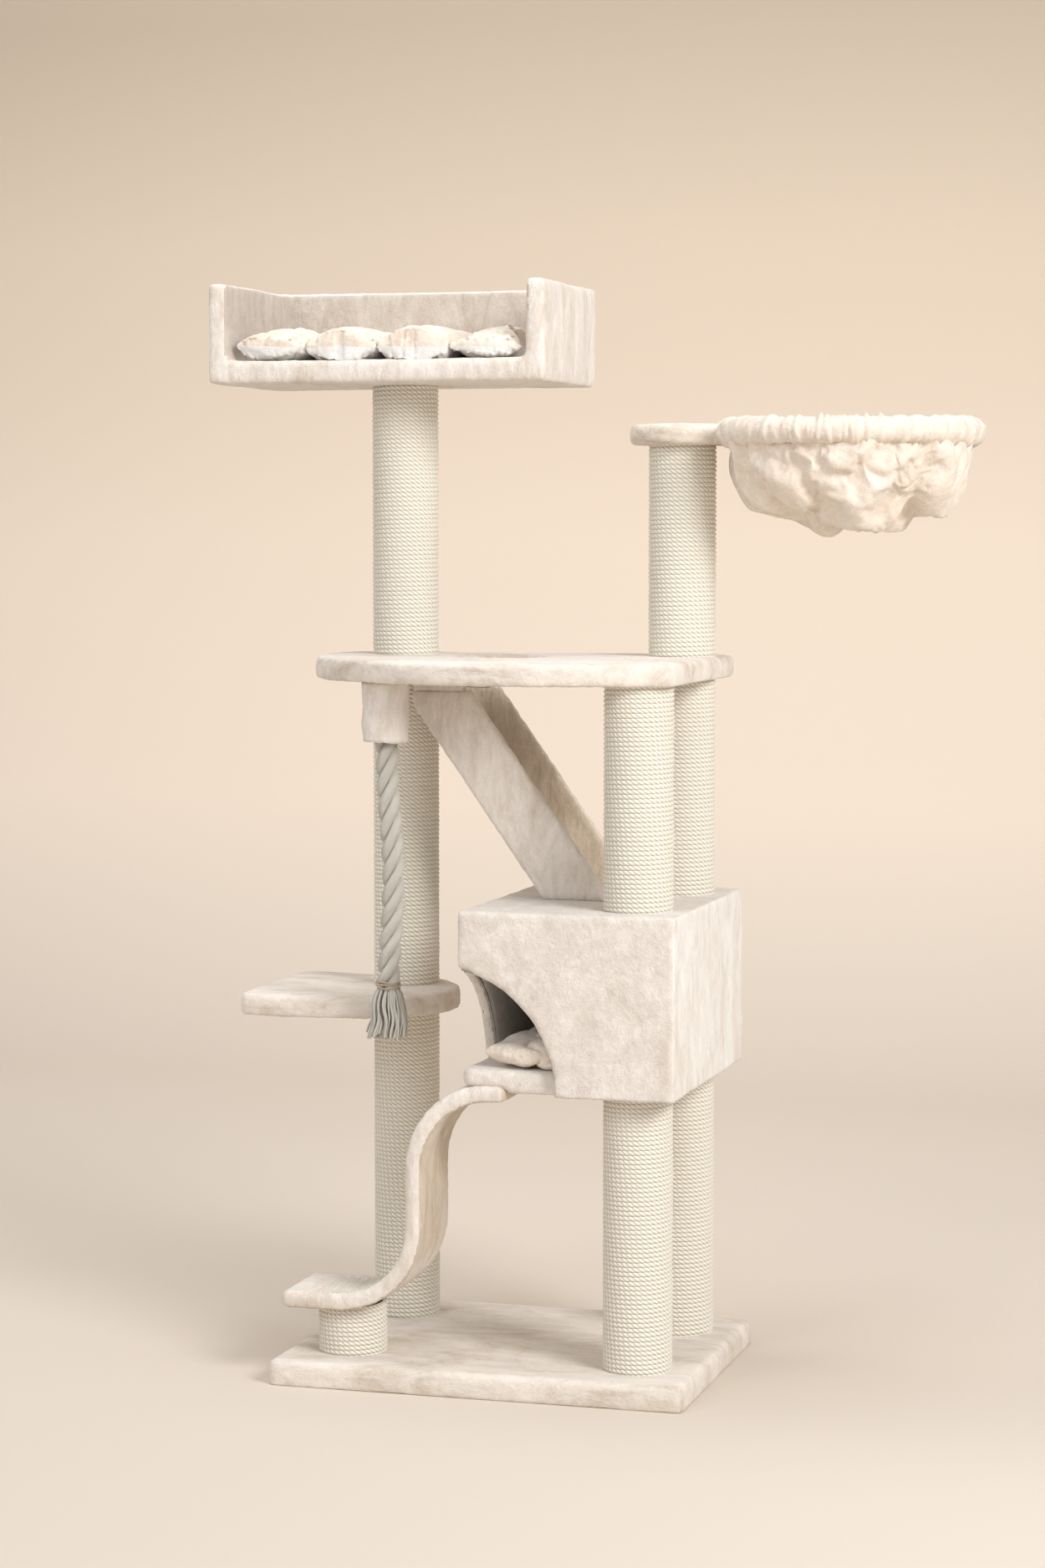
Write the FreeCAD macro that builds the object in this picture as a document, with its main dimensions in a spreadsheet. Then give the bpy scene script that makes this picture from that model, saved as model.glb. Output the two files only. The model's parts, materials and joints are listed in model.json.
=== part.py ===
"""Cat tree: plush-covered boards on sisal-wound posts, with a house, chute, bed, hammock and toy rope.

Frame: millimetres, +Z up, +Y to the back, origin at the centre of the base's underside.
"""
import FreeCAD, Part
import math
import os
import re
import Sketcher
from FreeCAD import Placement, Rotation, Vector

doc = FreeCAD.newDocument("cat_tree")

# ---------------------------------------------------------------- driving sizes
SIZES = {
    # boards and their plush skin
    "plush": 5, "board": 28, "base_board": 38, "wall_board": 16, "thin_board": 12, "bed_wall_board": 24,
    # base plate, over the plush
    "base_width": 735, "base_depth": 547,
    # posts: how far they stand in from the base's edges, and their build
    "post_in_left": 115.5, "post_in_right": 105.5, "post_in_depth": 119.5,
    "post_diameter": 120, "sisal_thick": 8, "tube_wall": 4, "plug_thick": 20,
    # free lengths of posts; the middle back-left one fills what is left between shelf and platform
    "lower_post": 478, "middle_post": 383, "shelf_post": 571, "bed_post": 484, "hammock_post": 374,
    "short_post": 87,
    # bolts, washers, nuts, studs and screws
    "bolt_radius": 5, "bolt_clearance": 0.5, "bolt_head_flat": 17, "bolt_head_high": 6.4,
    "bolt_grip": 55, "washer_radius": 14, "washer_thick": 2, "recess_radius": 15, "recess_depth": 10,
    "base_recess": 12, "nut_wall": 1, "nut_flange": 6, "nut_plate": 1.5, "nut_barrel": 11, "stud_reach": 24,
    "screw_radius": 2.5, "screw_length": 50, "screw_head_radius": 4.5, "screw_head_high": 3,
    "screw_inset": 60,
    # shelf on the back-left post, over the plush
    "shelf_length": 355, "shelf_depth": 339, "shelf_past_left": 243, "shelf_past_back": 108,
    "shelf_corner": 25,
    # main platform over the plush, as distances past the posts' centres, and its climbing hole
    "deck_past_left": 139, "deck_past_right": 73, "deck_past_back": 111, "deck_past_front": 125,
    "deck_past_side": 44, "deck_bulge_x": 57, "deck_shoulder_in": 1, "deck_shoulder_out": 6,
    "deck_cheek_out": 94, "deck_cheek_back": 104, "deck_left_front": 64, "deck_turn_out": 48,
    "deck_via_out": 114, "deck_via_back": 68, "deck_corner": 22, "climb_radius": 80, "climb_past_head": 161,
    # house, over the plush
    "house_width": 376, "house_depth": 524, "house_high": 310, "house_past_post": 85,
    "house_front_gap": 100, "door_radius": 211, "door_inset": 41, "door_rise": 4,
    "floor_corner": 18, "cushion_gap": 4, "house_cushion_length": 440, "house_cushion_high": 56,
    "cushion_edge": 18,
    # ramp: an S of bent plywood, over the plush
    "ramp_thick": 27, "ramp_width": 170, "ramp_bend": 136.5, "ramp_foot": 104, "tongue_reach": 77,
    "ramp_let_in": 11, "ramp_fit": 1, "mat_thick": 3, "mat_foot": 43, "mat_width": 121, "mat_shift": 12,
    # chute: a U channel from the house roof to the platform
    "chute_slope": 54.65, "chute_wall_high": 100, "chute_width": 200, "chute_y": 65, "chute_foot_in": 89.6,
    "chute_post_gap": 11, "chute_reach": 520, "chute_spare": 120, "cleat_high": 19, "cleat_length": 90,
    "cleat_past_head": 35,
    # bed on the back-left post, over the plush
    "bed_width": 620, "bed_depth": 345, "bed_high": 175, "bed_past_left": 310, "bed_past_front": 179,
    "bed_cushion_high": 60, "bed_cushion_front": 6,
    # hammock: a keyhole board that swivels on the back-right post, with a bag on its hoop
    "plate_radius": 92, "plate_board": 24, "arm_width": 120, "bag_post_gap": 8, "hoop_radius": 232,
    "hoop_wrap": 10, "hoop_width": 30, "rim_rise": 10, "bag_depth": 163, "bag_wall": 10, "bag_mouth": 224,
    "swivel_gap": 0.3,
    # toy rope under the platform
    "cord_y": -132, "cord_radius": 20, "sleeve_x": -197, "sleeve_radius": 41.5,
    "sleeve_wall": 5.5, "sleeve_length": 104, "cord_pivot_drop": 10, "cord_flex_drop": 60, "cord_gap": 0.5,
    "whipping_radius": 23.5, "whipping_high": 19, "tassel_top": 22, "tassel_radius": 35, "tassel_length": 91,
}
DERIVED = {
    "tube_radius": "post_diameter / 2 - sisal_thick",
    "plug_radius": "tube_radius - tube_wall",
    "left_x": "post_in_left - base_width / 2",
    "right_x": "base_width / 2 - post_in_right",
    "post_y": "base_depth / 2 - post_in_depth",
    "base_top": "base_board + plush",
    "slab": "board + 2 * plush",
    "shelf_under": "base_top + shelf_post",
    "shelf_top": "shelf_under + slab",
    "house_under": "base_top + lower_post",
    "house_top": "house_under + house_high",
    "deck_under": "house_top + middle_post",
    "deck_top": "deck_under + slab",
    "shelf_to_deck": "deck_under - shelf_top",
    "bed_under": "deck_top + bed_post",
    "bed_floor_top": "bed_under + slab",
    "bed_wall": "bed_wall_board + 2 * plush",
    "plate_under": "deck_top + hammock_post + swivel_gap",
    "plate_thick": "plate_board + 2 * plush",
    "ramp_under": "base_top + short_post",
    "house_right": "right_x + house_past_post",
    "house_left": "house_right - house_width",
    "house_front": "-post_y - house_front_gap",
    "house_back": "house_front + house_depth",
    "house_floor_top": "house_under + slab",
    "wall_skin": "wall_board + plush",
    "roof_under": "house_top - wall_skin",
    "cord_exit": "deck_under - sleeve_length",
    "cord_pivot": "cord_exit - cord_pivot_drop",
    "cord_flex": "cord_pivot - cord_flex_drop",
    "hoop_reach": "hoop_radius + post_diameter / 2 + bag_post_gap",
    "hoop_x": "right_x + hoop_reach",
    "shelf_left": "shelf_past_left - left_x",
    "shelf_back": "post_y + shelf_past_back",
    "deck_left": "deck_past_left - left_x",
    "deck_left_y": "post_y - deck_left_front",
    "deck_right": "right_x + deck_past_right",
    "deck_back": "post_y + deck_past_back",
    "deck_bulge": "post_y + deck_past_front",
    "deck_right_front": "post_y + deck_past_side",
    "deck_shoulder_x": "-left_x - deck_shoulder_in",
    "deck_shoulder_y": "post_y + deck_shoulder_out",
    "deck_cheek_x": "deck_cheek_out - left_x",
    "deck_cheek_y": "post_y - deck_cheek_back",
    "deck_back_turn": "deck_turn_out - left_x",
    "deck_back_via_x": "deck_via_out - left_x",
    "deck_back_via_y": "post_y + deck_via_back",
    "chute_foot_x": "house_left + chute_foot_in",
    "chute_left": "-left_x - post_diameter / 2 - chute_post_gap",
    "chute_head_x": "chute_foot_x - middle_post / tan(chute_slope)",
    "climb_x": "chute_head_x + climb_past_head",
    "bed_left": "bed_past_left - left_x",
    "bed_front": "post_y - bed_past_front",
    "chute_top": "deck_under - cleat_high",
    "chute_wall": "thin_board + 2 * plush",
}
# The toy rope's route below its flexing point: x, and how far below the sleeve's mouth.
ROPE_ROUTE = [(-193.5, 70), (-189, 130), (-182.5, 205), (-184, 300), (-191, 380), (-193, 432)]

sheet = doc.addObject("Spreadsheet::Sheet", "Sizes")
for row, (alias, amount) in enumerate({**SIZES, **DERIVED}.items(), start=1):
    sheet.set(f"A{row}", alias)
    sheet.set(f"B{row}", f"={amount}" if alias in DERIVED else str(amount))
    sheet.setAlias(f"B{row}", alias)
doc.recompute()


def bound(text):
    """An expression over the sheet's aliases, as the document reads it."""
    return re.sub(r"[a-z_]+", lambda word: f"Sizes.{word[0]}" if word[0] in SIZES or word[0] in DERIVED
                  else word[0], str(text))


def value(text):
    """What an expression over the aliases comes to."""
    return float(sheet.evalExpression(bound(text)))


# ---------------------------------------------------------------- building blocks
nodes = []


def node(label, shape_object):
    """Keep one finished piece under the name of its file."""
    shape_object.Label = label
    nodes.append(shape_object)
    return shape_object


def place(piece, x=0, y=0, z=0):
    for axis, text in zip("xyz", (x, y, z)):
        piece.setExpression(f"Placement.Base.{axis}", bound(text))
    return piece


def turn(piece, axis, angle):
    """Turn a primitive about an axis through its own origin."""
    piece.Placement = Placement(piece.Placement.Base, Rotation(Vector(*axis), 1))
    piece.setExpression("Placement.Rotation.Angle", bound(angle))
    return piece


def block(name, x, y, z, length, width, height):
    piece = doc.addObject("Part::Box", name)
    for prop, text in zip(("Length", "Width", "Height"), (length, width, height)):
        piece.setExpression(prop, bound(text))
    return place(piece, x, y, z)


def span(name, low, high):
    """A box between two corners, each three expressions."""
    return block(name, *low, *(f"({top}) - ({bottom})" for bottom, top in zip(low, high)))


def rod(name, x, y, z, radius, height):
    piece = doc.addObject("Part::Cylinder", name)
    piece.setExpression("Radius", bound(radius))
    piece.setExpression("Height", bound(height))
    return place(piece, x, y, z)


def fuse(name, parts):
    piece = doc.addObject("Part::MultiFuse", name)
    piece.Shapes = parts
    return piece


def group(name, parts):
    piece = doc.addObject("Part::Compound", name)
    piece.Links = parts
    return piece


def cut(name, base, tools):
    piece = doc.addObject("Part::Cut", name)
    piece.Base = base
    piece.Tool = tools[0] if len(tools) == 1 else fuse(name + "_tools", tools)
    return piece


def common(name, parts):
    piece = doc.addObject("Part::MultiCommon", name)
    piece.Shapes = parts
    return piece


def pipe(name, x, y, z, outer, inner, height):
    bore = rod(name + "_bore", x, y, z, inner, height)
    return cut(name, rod(name + "_outer", x, y, z, outer, height), [bore])


def outline(body, name, plane, steps):
    """A closed sketch on one of the body's planes. Each step is (x, y) for a straight edge to that
    point, or (x, y, via_x, via_y) for an arc to it through the via point. All are expressions."""
    sketch = body.newObject("Sketcher::SketchObject", name)
    sketch.AttachmentSupport = [(next(f for f in body.Origin.OriginFeatures if f.Role == plane), "")]
    sketch.MapMode = "FlatFace"

    def pin(geometry, point, x, y):
        for kind, text in (("DistanceX", x), ("DistanceY", y)):
            index = sketch.addConstraint(Sketcher.Constraint(kind, geometry, point, value(text)))
            sketch.setExpression(f"Constraints[{index}]", bound(text))

    corners = [Vector(value(step[0]), value(step[1]), 0) for step in steps]
    ends = []
    for here, step in enumerate(steps):
        start, end = corners[here - 1], corners[here]
        if len(step) == 2:
            edge = sketch.addGeometry(Part.LineSegment(start, end))
        else:
            via = Vector(value(step[2]), value(step[3]), 0)
            edge = sketch.addGeometry(Part.ArcOfCircle(start, via, end))
            mark = sketch.addGeometry(Part.Point(via), True)
            sketch.addConstraint(Sketcher.Constraint("PointOnObject", mark, 1, edge))
            pin(mark, 1, step[2], step[3])
        forward = (sketch.getPoint(edge, 1) - start).Length < (sketch.getPoint(edge, 2) - start).Length
        ends.append((edge, 1, 2) if forward else (edge, 2, 1))
    for here, step in enumerate(steps):
        edge, _, end_point = ends[here]
        following, start_point, _ = ends[(here + 1) % len(steps)]
        sketch.addConstraint(Sketcher.Constraint("Coincident", edge, end_point, following, start_point))
        pin(edge, end_point, step[0], step[1])
    return sketch


def padded(name, plane, steps, height, x=0, y=0, z=0):
    """A body made by padding one outline, then set in its place."""
    body = doc.addObject("PartDesign::Body", name)
    profile = outline(body, name + "_outline", plane, steps)
    pad = body.newObject("PartDesign::Pad", name + "_pad")
    pad.Profile = profile
    pad.setExpression("Length", bound(height))
    body.Tip = pad
    return place(body, x, y, z)


def rounded(left, right, front, back, corners):
    """A rectangle's outline. Its corners' radii run anticlockwise from the front left one."""
    steps = []
    spots = ((left, front, 1, 1), (right, front, -1, 1), (right, back, -1, -1), (left, back, 1, -1))
    for count, (x, y, inward_x, inward_y) in enumerate(spots):
        radius = f"({corners[count]})"
        if corners[count] == 0:
            steps.append((x, y))
            continue
        along_x = (f"({x}) + {inward_x} * {radius}", y)
        along_y = (x, f"({y}) + {inward_y} * {radius}")
        first, last = (along_y, along_x) if count % 2 == 0 else (along_x, along_y)
        near = f"{radius} * (1 - sqrt(0.5))"
        steps.append(first)
        steps.append(last + (f"({x}) + {inward_x} * {near}", f"({y}) + {inward_y} * {near}"))
    return steps


def skin(label, outer, solids, holes=()):
    """The plush on a board: what lies between its outside and the board, with the same holes."""
    return node(label, cut(label, outer, [*solids, *holes]))


# ---------------------------------------------------------------- posts
LEFT_BACK = ("left_x", "post_y")
LEFT_FRONT = ("left_x", "-post_y")
RIGHT_FRONT = ("right_x", "-post_y")
RIGHT_BACK = ("right_x", "post_y")
POSTS = {
    "back_left_lower_post": (LEFT_BACK, "base_top", "shelf_post"),
    "back_left_middle_post": (LEFT_BACK, "shelf_top", "shelf_to_deck"),
    "back_left_upper_post": (LEFT_BACK, "deck_top", "bed_post"),
    "front_right_lower_post": (RIGHT_FRONT, "base_top", "lower_post"),
    "front_right_upper_post": (RIGHT_FRONT, "house_top", "middle_post"),
    "back_right_lower_post": (RIGHT_BACK, "base_top", "lower_post"),
    "back_right_middle_post": (RIGHT_BACK, "house_top", "middle_post"),
    "back_right_upper_post": (RIGHT_BACK, "deck_top", "hammock_post"),
    "ramp_post": (LEFT_FRONT, "base_top", "short_post"),
}
end_plugs, tee_nuts = [], []
for post, (spot, foot, length) in POSTS.items():
    node(post + "_tube", pipe(post + "_tube", *spot, foot, "tube_radius", "plug_radius", length))
    node(post + "_sisal", pipe(post + "_sisal", *spot, foot, "post_diameter / 2", "tube_radius", length))
    for end in ("foot", "head"):
        name = f"{post}_{end}"
        at_foot = end == "foot"
        plug_z = foot if at_foot else f"{foot} + {length} - plug_thick"
        plate_z = f"{foot} + plug_thick" if at_foot else f"{foot} + {length} - plug_thick - nut_plate"
        barrel_z = f"{foot} + plug_thick - nut_barrel" if at_foot else f"{foot} + {length} - plug_thick"
        seat = rod(name + "_nut_seat", *spot, barrel_z, "bolt_radius + nut_wall", "nut_barrel")
        bore = rod(name + "_plug_bore", *spot, plug_z, "bolt_radius", "plug_thick")
        end_plugs.append(cut(name + "_plug", rod(name + "_disc", *spot, plug_z, "plug_radius", "plug_thick"),
                             [seat, bore]))
        barrel = rod(name + "_barrel", *spot, barrel_z, "bolt_radius + nut_wall", "nut_barrel")
        flange = rod(name + "_flange", *spot, plate_z, "bolt_radius + nut_flange", "nut_plate")
        thread = rod(name + "_thread", *spot, barrel_z if at_foot else plate_z, "bolt_radius",
                     "nut_barrel + nut_plate")
        tee_nuts.append(cut(name + "_nut", fuse(name + "_nut_blank", [barrel, flange]), [thread]))
node("post_end_plugs", group("post_end_plugs", end_plugs))
node("tee_nuts", group("tee_nuts", tee_nuts))

# ---------------------------------------------------------------- fasteners
bolts, washers, studs, screws = [], [], [], []


def bolt(name, spot, seat, up):
    """A hexagon bolt and its washer: the shank starts at the seat and runs up or down."""
    head_z = f"{seat} - washer_thick - bolt_head_high" if up else f"{seat} + washer_thick"
    washer_z = f"{seat} - washer_thick" if up else seat
    head = doc.addObject("Part::Prism", name + "_head")
    head.Polygon = 6
    head.setExpression("Circumradius", bound("bolt_head_flat / sqrt(3)"))
    head.setExpression("Height", bound("bolt_head_high"))
    place(head, *spot, head_z)
    shank_z = washer_z if up else f"{seat} - bolt_grip"
    shank = rod(name + "_shank", *spot, shank_z, "bolt_radius", "bolt_grip + washer_thick")
    bolts.append(fuse(name, [head, shank]))
    washers.append(pipe(name + "_washer", *spot, washer_z, "washer_radius", "bolt_radius", "washer_thick"))


def bolt_hole(name, spot, low, high, recess_z=None, recess_high=None):
    """What a bolt takes out of a board: a clearance hole and, if the head is sunk, its recess."""
    hole = rod(name, *spot, low, "bolt_radius + bolt_clearance", f"({high}) - ({low})")
    if recess_z is None:
        return [hole]
    return [hole, rod(name + "_recess", *spot, recess_z, "recess_radius", recess_high)]


def stud(name, spot, low, high):
    """Threaded rod that joins two posts through the board between them."""
    studs.append(rod(name, *spot, f"{low} - stud_reach", "bolt_radius", f"{high} - ({low}) + 2 * stud_reach"))


def screw(name, x, y, z, axis, angle):
    """A wood screw with its head's outside at (x, y, z), driven along the turned +Z."""
    head = turn(rod(name + "_head", x, y, z, "screw_head_radius", "screw_head_high"), axis, angle)
    shank = turn(rod(name + "_shank", x, y, z, "screw_radius", "screw_length"), axis, angle)
    piece = fuse(name, [head, shank])
    screws.append(piece)
    return piece


INTO_X, OUT_OF_X = ((0, 1, 0), 90), ((0, 1, 0), -90)
INTO_Y, OUT_OF_Y, DOWN = ((1, 0, 0), -90), ((1, 0, 0), 90), ((1, 0, 0), 180)

# ---------------------------------------------------------------- base
base_holes = []
for label, spot in (("back_left", LEFT_BACK), ("ramp", LEFT_FRONT), ("front_right", RIGHT_FRONT),
                    ("back_right", RIGHT_BACK)):
    bolt(f"base_{label}_bolt", spot, "base_recess", True)
    base_holes += bolt_hole(f"base_{label}_hole", spot, "0", "base_top", "0", "base_recess")
base_blank = block("base_blank", "plush - base_width / 2", "plush - base_depth / 2", 0,
                   "base_width - 2 * plush", "base_depth - 2 * plush", "base_board")
base_outer = block("base_outer", "-base_width / 2", "-base_depth / 2", 0, "base_width", "base_depth",
                   "base_top")
node("base_board", cut("base_board", base_blank, base_holes))
skin("base_cover", base_outer, [base_blank], base_holes)


# ---------------------------------------------------------------- shelf
def shelf_outline(inset):
    """Square on the left with small corners, a half circle round the post on the right."""
    half = "(shelf_depth / 2)"
    left = f"{inset} - shelf_left"
    front, back = f"shelf_back - shelf_depth + {inset}", f"shelf_back - {inset}"
    bend = f"shelf_length - shelf_left - {half}"
    corner = f"(shelf_corner - {inset})"
    near = f"{corner} * (1 - sqrt(0.5))"
    return [
        (f"{left} + {corner}", front, f"{left} + {near}", f"{front} + {near}"),
        (bend, front),
        (bend, back, f"shelf_length - shelf_left - {inset}", f"shelf_back - {half}"),
        (f"{left} + {corner}", back),
        (left, f"{back} - {corner}", f"{left} + {near}", f"{back} - {near}"),
        (left, f"{front} + {corner}"),
    ]


stud("shelf_stud", LEFT_BACK, "shelf_under", "shelf_top")
shelf_holes = bolt_hole("shelf_hole", LEFT_BACK, "shelf_under", "shelf_top")
shelf_blank = padded("shelf_blank", "XY_Plane", shelf_outline("plush"), "board", z="shelf_under + plush")
shelf_outer = padded("shelf_outer", "XY_Plane", shelf_outline("0"), "slab", z="shelf_under")
node("shelf_board", cut("shelf_board", shelf_blank, shelf_holes))
skin("shelf_cover", shelf_outer, [shelf_blank], shelf_holes)


# ---------------------------------------------------------------- main platform
def deck_outline(inset):
    """A bowed front and a big round left end: three arcs, then a straight back and right side."""
    right, back = f"deck_right - {inset}", f"deck_back - {inset}"
    corner = f"(deck_corner - {inset})"
    near = f"{corner} * (1 - sqrt(0.5))"
    return [
        (f"{inset} * 0.7 - deck_shoulder_x", f"{inset} * 0.7 - deck_shoulder_y",
         "deck_bulge_x", f"{inset} - deck_bulge"),
        (f"{inset} - deck_left", "deck_left_y",
         f"{inset} * 0.9 - deck_cheek_x", f"{inset} * 0.4 - deck_cheek_y"),
        (f"{inset} - deck_back_turn", back,
         f"{inset} * 0.8 - deck_back_via_x", f"deck_back_via_y - {inset} * 0.6"),
        (f"{right} - {corner}", back),
        (right, f"{back} - {corner}", f"{right} - {near}", f"{back} - {near}"),
        (right, f"{inset} - deck_right_front"),
    ]


stud("deck_left_stud", LEFT_BACK, "deck_under", "deck_top")
stud("deck_right_stud", RIGHT_BACK, "deck_under", "deck_top")
bolt("deck_front_bolt", RIGHT_FRONT, "deck_top - recess_depth", False)
deck_holes = bolt_hole("deck_left_hole", LEFT_BACK, "deck_under", "deck_top")
deck_holes += bolt_hole("deck_right_hole", RIGHT_BACK, "deck_under", "deck_top")
deck_holes += bolt_hole("deck_front_hole", RIGHT_FRONT, "deck_under", "deck_top",
                        "deck_top - recess_depth", "recess_depth")
deck_blank = padded("deck_blank", "XY_Plane", deck_outline("plush"), "board", z="deck_under + plush")
deck_outer = padded("deck_outer", "XY_Plane", deck_outline("0"), "slab", z="deck_under")
climb_board = rod("climb_board", "climb_x", "chute_y", "deck_under", "climb_radius + plush", "slab")
climb_hole = rod("climb_hole", "climb_x", "chute_y", "deck_under", "climb_radius", "slab")
deck_solid = cut("deck_solid", deck_blank, [climb_board])
node("platform_board", cut("platform_board", deck_solid, deck_holes))
skin("platform_cover", cut("deck_skin", deck_outer, [climb_hole]), [deck_solid], deck_holes)

# ---------------------------------------------------------------- house
# The doorway is one corner taken out of two walls by the same circle.
DOOR_DEEP = "wall_skin + 2 * plush"
door_front = turn(rod("door_front", "house_left - door_inset", "house_front - plush",
                      "house_under + door_rise", "door_radius", DOOR_DEEP), (1, 0, 0), -90)
door_side = turn(rod("door_side", "house_left - plush", "house_front - door_inset", "house_under + door_rise",
                     "door_radius", DOOR_DEEP), (0, 1, 0), 90)

floor_left, floor_right = "house_left", "house_right - wall_skin"
floor_front, floor_back = "house_front + wall_skin", "house_back - wall_skin"
floor_outer = padded("floor_outer", "XY_Plane",
                     rounded(floor_left, floor_right, floor_front, floor_back, ("floor_corner", 0, 0, 0)),
                     "slab", z="house_under")
floor_blank = padded("floor_blank", "XY_Plane",
                     rounded(f"{floor_left} + plush", f"{floor_right} - plush", f"{floor_front} + plush",
                             f"{floor_back} - plush", ("floor_corner - plush", 0, 0, 0)),
                     "board", z="house_under + plush")
tongue_seat = block("tongue_seat", "house_left - plush", "-post_y - ramp_width / 2 - ramp_fit", "house_under",
                    "tongue_reach + ramp_fit + plush",
                    "ramp_width + 2 * ramp_fit", "ramp_let_in + ramp_fit")
floor_holes, roof_holes = [tongue_seat], []
for label, spot in (("front", RIGHT_FRONT), ("back", RIGHT_BACK)):
    bolt(f"floor_{label}_bolt", spot, "house_floor_top - recess_depth", False)
    floor_holes += bolt_hole(f"floor_{label}_hole", spot, "house_under", "house_floor_top",
                             "house_floor_top - recess_depth", "recess_depth")
    bolt(f"roof_{label}_bolt", spot, "roof_under", True)
    roof_holes += bolt_hole(f"roof_{label}_hole", spot, "roof_under", "house_top")
node("house_floor_board", cut("house_floor_board", floor_blank, floor_holes))
skin("house_floor_cover", floor_outer, [floor_blank], floor_holes)

WALLS = {
    "front": (("house_left + plush", "house_front + plush", "house_under"),
              ("house_right - plush", "house_front + wall_skin", "roof_under")),
    "back": (("house_left + plush", "house_back - wall_skin", "house_under"),
             ("house_right - plush", "house_back - plush", "roof_under")),
    "left": (("house_left + plush", "house_front + wall_skin", "house_floor_top"),
             ("house_left + wall_skin", "house_back - wall_skin", "roof_under")),
    "right": (("house_right - wall_skin", "house_front + wall_skin", "house_under"),
              ("house_right - plush", "house_back - wall_skin", "roof_under")),
    "top": (("house_left + plush", "house_front + plush", "roof_under"),
            ("house_right - plush", "house_back - plush", "house_top - plush")),
}
ROOF_SCREWS = {
    "front": ("house_front + plush + wall_board / 2", "house_left + screw_inset * 4"),
    "back": ("house_back - plush - wall_board / 2", "house_left + screw_inset"),
}
house_screws = []
for side, (wall_y, first_x) in ROOF_SCREWS.items():
    for label, screw_x in (("left", first_x), ("right", "house_right - screw_inset")):
        house_screws.append(screw(f"roof_{side}_{label}_screw", screw_x, wall_y, "house_top - plush", *DOWN))
for side, wall_y, way in (("front", "house_front + plush", INTO_Y), ("back", "house_back - plush", OUT_OF_Y)):
    for label, screw_z in (("low", "house_floor_top + screw_inset"), ("high", "roof_under - screw_inset")):
        house_screws.append(screw(f"{side}_wall_{label}_screw", "house_right - plush - wall_board / 2",
                                  wall_y, screw_z, *way))
screw_tools = group("house_screw_tools", house_screws)
for side, (low, high) in WALLS.items():
    tools = [screw_tools]
    if side in ("front", "left"):
        tools.append(door_front if side == "front" else door_side)
    if side == "top":
        tools += roof_holes
    node(f"house_{side}_panel", cut(f"house_{side}_panel", span(f"house_{side}_blank", low, high), tools))
house_outer = span("house_outer", ("house_left", "house_front", "house_under"),
                   ("house_right", "house_back", "house_top"))
house_inner = span("house_inner", ("house_left + plush", "house_front + plush", "house_under"),
                   ("house_right - plush", "house_back - plush", "house_top - plush"))
floor_room = span("floor_room", (floor_left, floor_front, "house_under"),
                  (floor_right, floor_back, "house_floor_top"))
skin("house_cover", house_outer, [house_inner, floor_room, door_front, door_side], roof_holes)


# ---------------------------------------------------------------- cushions
def cushion(label, low, high):
    """A plain pad with rounded upright edges; its look is soft work."""
    steps = rounded(low[0], high[0], low[1], high[1], ("cushion_edge",) * 4)
    return node(label, padded(label, "XY_Plane", steps, f"({high[2]}) - ({low[2]})", z=low[2]))


cushion("house_cushion",
        ("house_left + wall_skin + cushion_gap", "house_front + wall_skin + cushion_gap",
         "house_floor_top + swivel_gap"),
        ("house_right - wall_skin - cushion_gap",
         "house_front + wall_skin + cushion_gap + house_cushion_length",
         "house_floor_top + swivel_gap + house_cushion_high"))


# ---------------------------------------------------------------- ramp
def ramp_band(low, high, foot_start=0, foot_only=False):
    """The S seen from the front, between two heights above its underside. It runs flat on its post,
    bends up a quarter turn, down past upright, and bends back flat into the house floor."""
    middle, low, high = "ramp_thick / 2", f"({low})", f"({high})"
    under, over = f"(ramp_bend + {middle} - {low})", f"(ramp_bend + {middle} - {high})"
    start, bend_x = f"left_x - ramp_foot + {foot_start}", "left_x"
    first_z = f"ramp_under + {middle} + ramp_bend"
    if foot_only:
        half = "sqrt(0.5)"
        return [
            (bend_x, f"ramp_under + {low}"),
            (f"{bend_x} + {under} * {half}", f"{first_z} - {under} * {half}",
             f"{bend_x} + {under} * sin(22.5)", f"{first_z} - {under} * cos(22.5)"),
            (f"{bend_x} + {over} * {half}", f"{first_z} - {over} * {half}"),
            (bend_x, f"ramp_under + {high}",
             f"{bend_x} + {over} * sin(22.5)", f"{first_z} - {over} * cos(22.5)"),
            (start, f"ramp_under + {high}"),
            (start, f"ramp_under + {low}"),
        ]
    second_x, second_z = "left_x + 2 * ramp_bend", f"house_under + ramp_let_in - {middle} - ramp_bend"
    inner, outer = f"(ramp_bend - {middle} + {low})", f"(ramp_bend - {middle} + {high})"
    near = "sqrt(0.5)"
    tip = f"house_left + tongue_reach - {low}"
    return [
        (bend_x, f"ramp_under + {low}"),
        (f"{bend_x} + {under}", first_z, f"{bend_x} + {under} * {near}", f"{first_z} - {under} * {near}"),
        (f"{second_x} - {inner}", second_z),
        (second_x, f"{second_z} + {inner}",
         f"{second_x} - {inner} * {near}", f"{second_z} + {inner} * {near}"),
        (tip, f"{second_z} + {inner}"),
        (tip, f"{second_z} + {outer}"),
        (second_x, f"{second_z} + {outer}"),
        (f"{second_x} - {outer}", second_z,
         f"{second_x} - {outer} * {near}", f"{second_z} + {outer} * {near}"),
        (f"{bend_x} + {over}", first_z),
        (bend_x, f"ramp_under + {high}", f"{bend_x} + {over} * {near}", f"{first_z} - {over} * {near}"),
        (f"{start} + {low}", f"ramp_under + {high}"),
        (f"{start} + {low}", f"ramp_under + {low}"),
    ]


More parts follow.
